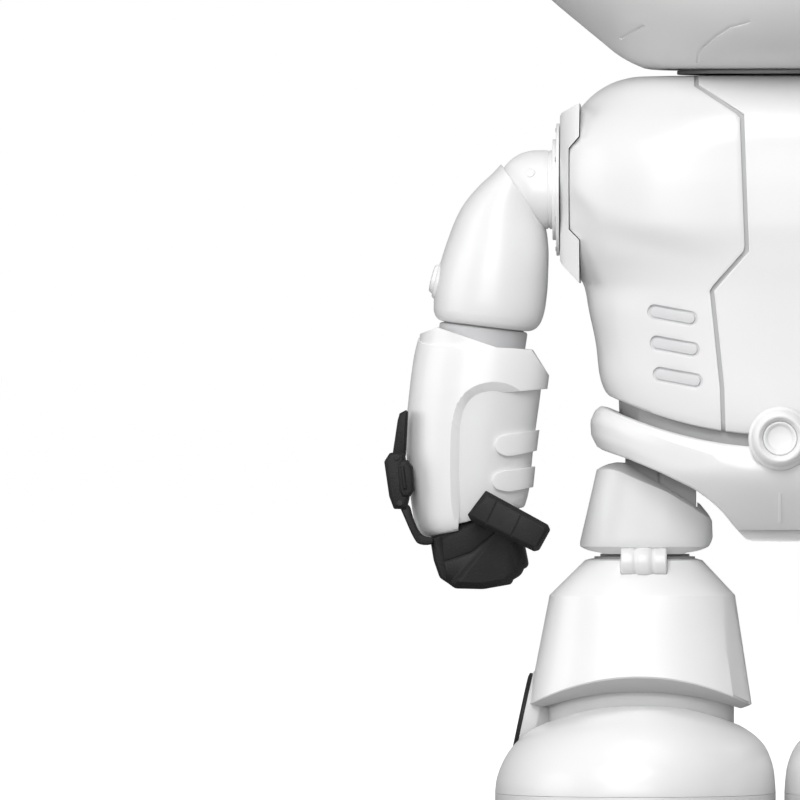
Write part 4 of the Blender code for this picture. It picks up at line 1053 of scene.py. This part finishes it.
def build_shin():
    def ring(half_width, half_depth, height, squareness=3, shift=0):
        return ring_at(SHIN_X + shift - half_width, SHIN_X + shift + half_width, -half_depth, half_depth,
                       squareness, height, 128)

    def arched(half_width, half_depth, middle, side, squareness=3):
        return [Vector((p.x, p.y, cuff(p.x, middle, side)))
                for p in ring(half_width, half_depth, 0, squareness)]

    outer, foot = arched(33.5, 27, 66.2, 57.4), arched(30.3, 20.8, 61.5, 55)
    top = ring(27.8, 21.8, 90, shift=0.7)
    rows = [ring(15.7, 12.6, 101, 2.6, 1.1), ring(17.6, 14, 100.5, 2.7, 1.1)]
    rows += [ring(17.6 + 10.2 * t, 14 + 7.8 * t, 100.5 - 10.5 * t, 2.7 + 0.3 * t, 1.1 - 0.4 * t)
             for t in (0.33, 0.66)]
    rows += [[a.lerp(b, t) for a, b in zip(top, outer)] for t in (0, 0.2, 0.4, 0.6, 0.8, 1)]
    rows += [foot, arched(29.4, 20, 61.9, 55.6), arched(28.4, 19.4, 70, 66)]
    shin = loft("shin_skin_right", rows)
    seat = [(radius + 0.1, along * 1.01) for radius, along in KNEE_BARREL]
    bore(shin, seat, (1, 0, 0), KNEE, 64, 0.5)
    lean, level = 0.152, 54   # the facet follows the leaning side, and keeps its place at one height
    shear = Matrix.Identity(4)
    shear[0][2] = -lean
    place = Matrix.Translation((lean * level * MM, 0, 0)) @ shear
    for back in (1, -1):
        corner = [(-13, -40 * back), (-7, -40 * back), (-7, -6 * back), (-13, -18.5 * back)]
        facet = extruded("corner_facet", corner, "Z", 40, 101)
        facet.data.transform(place)
        boolean(shin, facet)
    fit_pair(soften(shin, 0.35, angle=24), "shin_right", *SHELL, "shin_right", smooth_angle=28)

    # a grey band laid over the shin's downward chamfer, painted shade
    rows = [[a.lerp(b, share) + Vector((0, 0, lift)) for a, b in zip(outer, foot)]
            for share, lift in ((0.10, 0.9), (0.10, -0.12), (0.5, -0.15), (0.98, -0.12), (0.98, 0.9))]
    bm = bmesh.new()
    verts = grid_mesh(bm, rows, closed=True)
    for j, low in enumerate(verts[0]):
        k = (j + 1) % len(verts[0])
        bm.faces.new((low, verts[0][k], verts[-1][k], verts[-1][j]))
    fit_pair(soften(new_piece("cuff_seal_right", bm), 0.1), "shin_right", "grey_plastic", CUFF_SHADE_GREY)

    # the ankle core's grey is painted shade
    rows = [ring(24, 15, 36), ring(27.6, 18.2, 42), ring(28.2, 18.8, 46), ring(28.2, 18.8, 68)]
    fit_pair(loft("ankle_core_skin_right", rows), "shin_right", "grey_plastic", ANKLE_SHADED_GREY, "ankle_core_right",
             smooth_angle=35)
    # grey slabs in the gap between thigh and shin: painted shade in the gap
    for name, plan, top_z in (("knee_pad_right", (-55.7, -25.5, -11, 11, 2.6), 101.6),
                              ("knee_stop_right", (-54, -27.2, 8.7, 11.2, 3), 102.25)):
        piece = loft(name, [ring_at(*plan, height) for height in (100.7, top_z)])
        fit_pair(piece, "shin_right", "dark_joint", NECK)

    # the ankle plate's grey is painted shade
    plate = turned("ankle_plate_right", [(12, -9), (15.6, -4.5), (15.6, -0.2)], ANKLE_AXIS, ANKLE_SPOT,
                   rounding=0.4)
    fit_pair(plate, "shin_right", "grey_plastic", ANKLE_SHADED_GREY)
    profile = [(14.9, -0.3), (14.9, 0.75), (13.6, 1.1), (11, 1.1), (10.4, 0.6), (5, 0.6), (4.4, 1.2)]
    disc = turned("ankle_disc_skin_right", profile, ANKLE_AXIS, ANKLE_SPOT, rounding=0.25)
    fit_pair(disc, "shin_right", *HAND, "ankle_disc_right")


def build_foot():
    # (height, left, right, front, back, squareness)
    stations = [(31.2, -85.3, -1.3, -60.8, 45.6, 2.4), (34.3, -85, -1.5, -60.5, 45.4, 2.4),
                (37.9, -84, -1.9, -59.6, 44.6, 2.4), (40.6, -82.8, -2.6, -58.5, 43.6, 2.4),
                (44.7, -80.2, -4.4, -56.2, 41, 2.35), (48, -77, -7.4, -53.6, 38.2, 2.3),
                (50.6, -73.2, -11.2, -50.8, 35, 2.3), (53.2, -66.8, -16.7, -47.2, 30, 2.25),
                (55.3, -60.3, -23.4, -43.6, 20, 2.2), (56.6, -53.2, -29.4, -39.8, 6, 2.1),
                (57.2, -46.5, -36.5, -35.6, -16, 2), (57.3, -43, -40, -33, -28, 2)]
    upper = loft("foot_shell_skin_right", rings_through(stations, rows=48, columns=96))
    well = [ring_at(-71.4, -12.6, -20.4, 20.4, 3, 40, 96), ring_at(-72, -12, -21.2, 21.2, 3, 70, 96)]
    boolean(upper, loft("well", well))
    bore(upper, [(16.4, -7), (16.4, 12)], ANKLE_AXIS, ANKLE_SPOT)
    fit_pair(soften(upper, 0.3), "foot_right", *SHELL, "foot_shell_right")

    stations = [(4.4, -84.2, -2.4, -59.6, 44.6, 2.4), (8, -84.9, -1.7, -60.3, 45.2, 2.4),
                (16, -85.3, -1.3, -60.7, 45.6, 2.4), (31.1, -85.3, -1.3, -60.8, 45.6, 2.4)]
    base = loft("foot_base_skin_right", rings_through(stations, rows=12, columns=96))
    toe_line = extruded("toe_line", [(-64, 11.6), (-64, 12.6), (-20, 12.6), (-20, 11.6)], "X", -100, 10)
    boolean(toe_line, loft("toe_keep", [ring_at(-84.5, -2.1, -60, 44.8, 2.4, z, 96) for z in (10, 14)]))
    boolean(base, toe_line)
    fit_pair(soften(base, 0.25), "foot_right", "grey_plastic", FOOT_GREY, "foot_base_right")
    stations = [(0, -81.6, -5, -57, 42, 2.4), (0.5, -82.6, -4, -58, 43, 2.4), (2.6, -84, -2.6, -59.4, 44.4, 2.4),
                (4.2, -84, -2.6, -59.4, 44.4, 2.4)]
    sole = loft("foot_sole_right", rings_through(stations, rows=8, columns=96))
    for y in range(-48, 40, 8):
        cut(sole, [(y - 1, -1), (y + 1, -1), (y + 0.8, 1.2), (y - 0.8, 1.2)], "X", -100, 10)
    fit_pair(sole, "foot_right", "dark_joint", DARK)


# ---- stage

# The stage is in metres.
EYE = Vector((0, -5, 0.18))
LOOK_AT = Vector((-0.114, 0, 0.1485))
VIEW_WIDTH = 0.240    # what the camera takes in at the robot
LIGHT_AIM = Vector((0, 0, 0.18))
# name: (place, diameter, power in watts) of the soft discs
LIGHTS = {"key": ((-0.3, -1.85, 1.35), 0.9, 21), "fill": ((-0.25, -2.4, 0.35), 1.2, 17.5),
          "left_fill": ((-1.9, -0.7, 0.5), 1.6, 12), "top": ((0, -0.7, 1.7), 1, 6),
          "back": ((0, 2, 1.5), 1.4, 21)}
FLOOR_REACH = 30
FLOOR_TONE = 0.27
AMBIENT = 0.26


def place_facing(obj, spot, target):
    obj.location = spot
    obj.rotation_euler = (target - Vector(spot)).to_track_quat("-Z", "Y").to_euler()
    bpy.context.scene.collection.objects.link(obj)


def build_stage():
    """Pale seamless floor, white surroundings, soft studio light and the camera."""
    mesh = bpy.data.meshes.new("floor")
    corners = rectangle(-FLOOR_REACH, -FLOOR_REACH, FLOOR_REACH, FLOOR_REACH)
    mesh.from_pydata([(x, y, 0) for x, y in corners], [], [(0, 1, 2, 3)])
    floor = bpy.data.objects.new("floor", mesh)
    bpy.context.scene.collection.objects.link(floor)
    material = bpy.data.materials.new("pale_floor")
    material.use_nodes = True
    tree = material.node_tree
    inputs = tree.nodes["Principled BSDF"].inputs
    for key, value in (("Base Color", (FLOOR_TONE, FLOOR_TONE, FLOOR_TONE, 1)), ("Roughness", 0.9),
                       ("Specular IOR Level", 0.1), ("Emission Color", (1, 1, 1, 1))):
        inputs[key].default_value = value
    seen = add_node(tree, "LightPath").outputs["Is Camera Ray"]
    glow = add_node(tree, "Math", {0: seen, 1: 0.92}, operation="MULTIPLY")
    tree.links.new(glow.outputs["Value"], inputs["Emission Strength"])
    mesh.materials.append(material)

    world = bpy.data.worlds.new("studio")
    bpy.context.scene.world = world
    world.use_nodes = True
    tree = world.node_tree
    tree.nodes.clear()
    seen = add_node(tree, "LightPath").outputs["Is Camera Ray"]
    lit, white = (add_node(tree, "Background", {"Strength": strength, "Color": (1, 1, 1, 1)})
                  for strength in (AMBIENT, 1))
    mix = add_node(tree, "MixShader", {"Fac": seen, 1: lit.outputs["Background"], 2: white.outputs["Background"]})
    add_node(tree, "OutputWorld", {"Surface": mix.outputs["Shader"]})

    for name, (spot, size, power) in LIGHTS.items():
        light = bpy.data.lights.new(name, "AREA")
        light.shape = "DISK"
        light.size = size
        light.energy = power
        lamp = bpy.data.objects.new(name, light)
        lamp.visible_glossy = name != "back"
        place_facing(lamp, spot, LIGHT_AIM)

    camera = bpy.data.cameras.new("camera")
    camera.sensor_width = 36
    camera.lens = camera.sensor_width * (LOOK_AT - EYE).length / VIEW_WIDTH
    camera.clip_end = 100
    rig = bpy.data.objects.new("camera", camera)
    place_facing(rig, EYE, LOOK_AT)
    bpy.context.scene.camera = rig
    bpy.context.scene.view_settings.view_transform = "Standard"


def finish_hidden_parts():
    """Gives the CAD nodes that stay their materials."""
    for node, material in (("torso_frame", GREY), ("battery_pack", LINER), ("control_board", BOARD)):
        mesh = frame["nodes"][node].data
        mesh.materials.clear()
        mesh.materials.append(material)


for build in (build_stage, build_torso, build_waist, build_shoulder_mount, build_head, build_pelvis,
              build_upper_arm, build_forearm, build_hand, build_thigh, build_shin, build_foot,
              finish_hidden_parts):
    build()
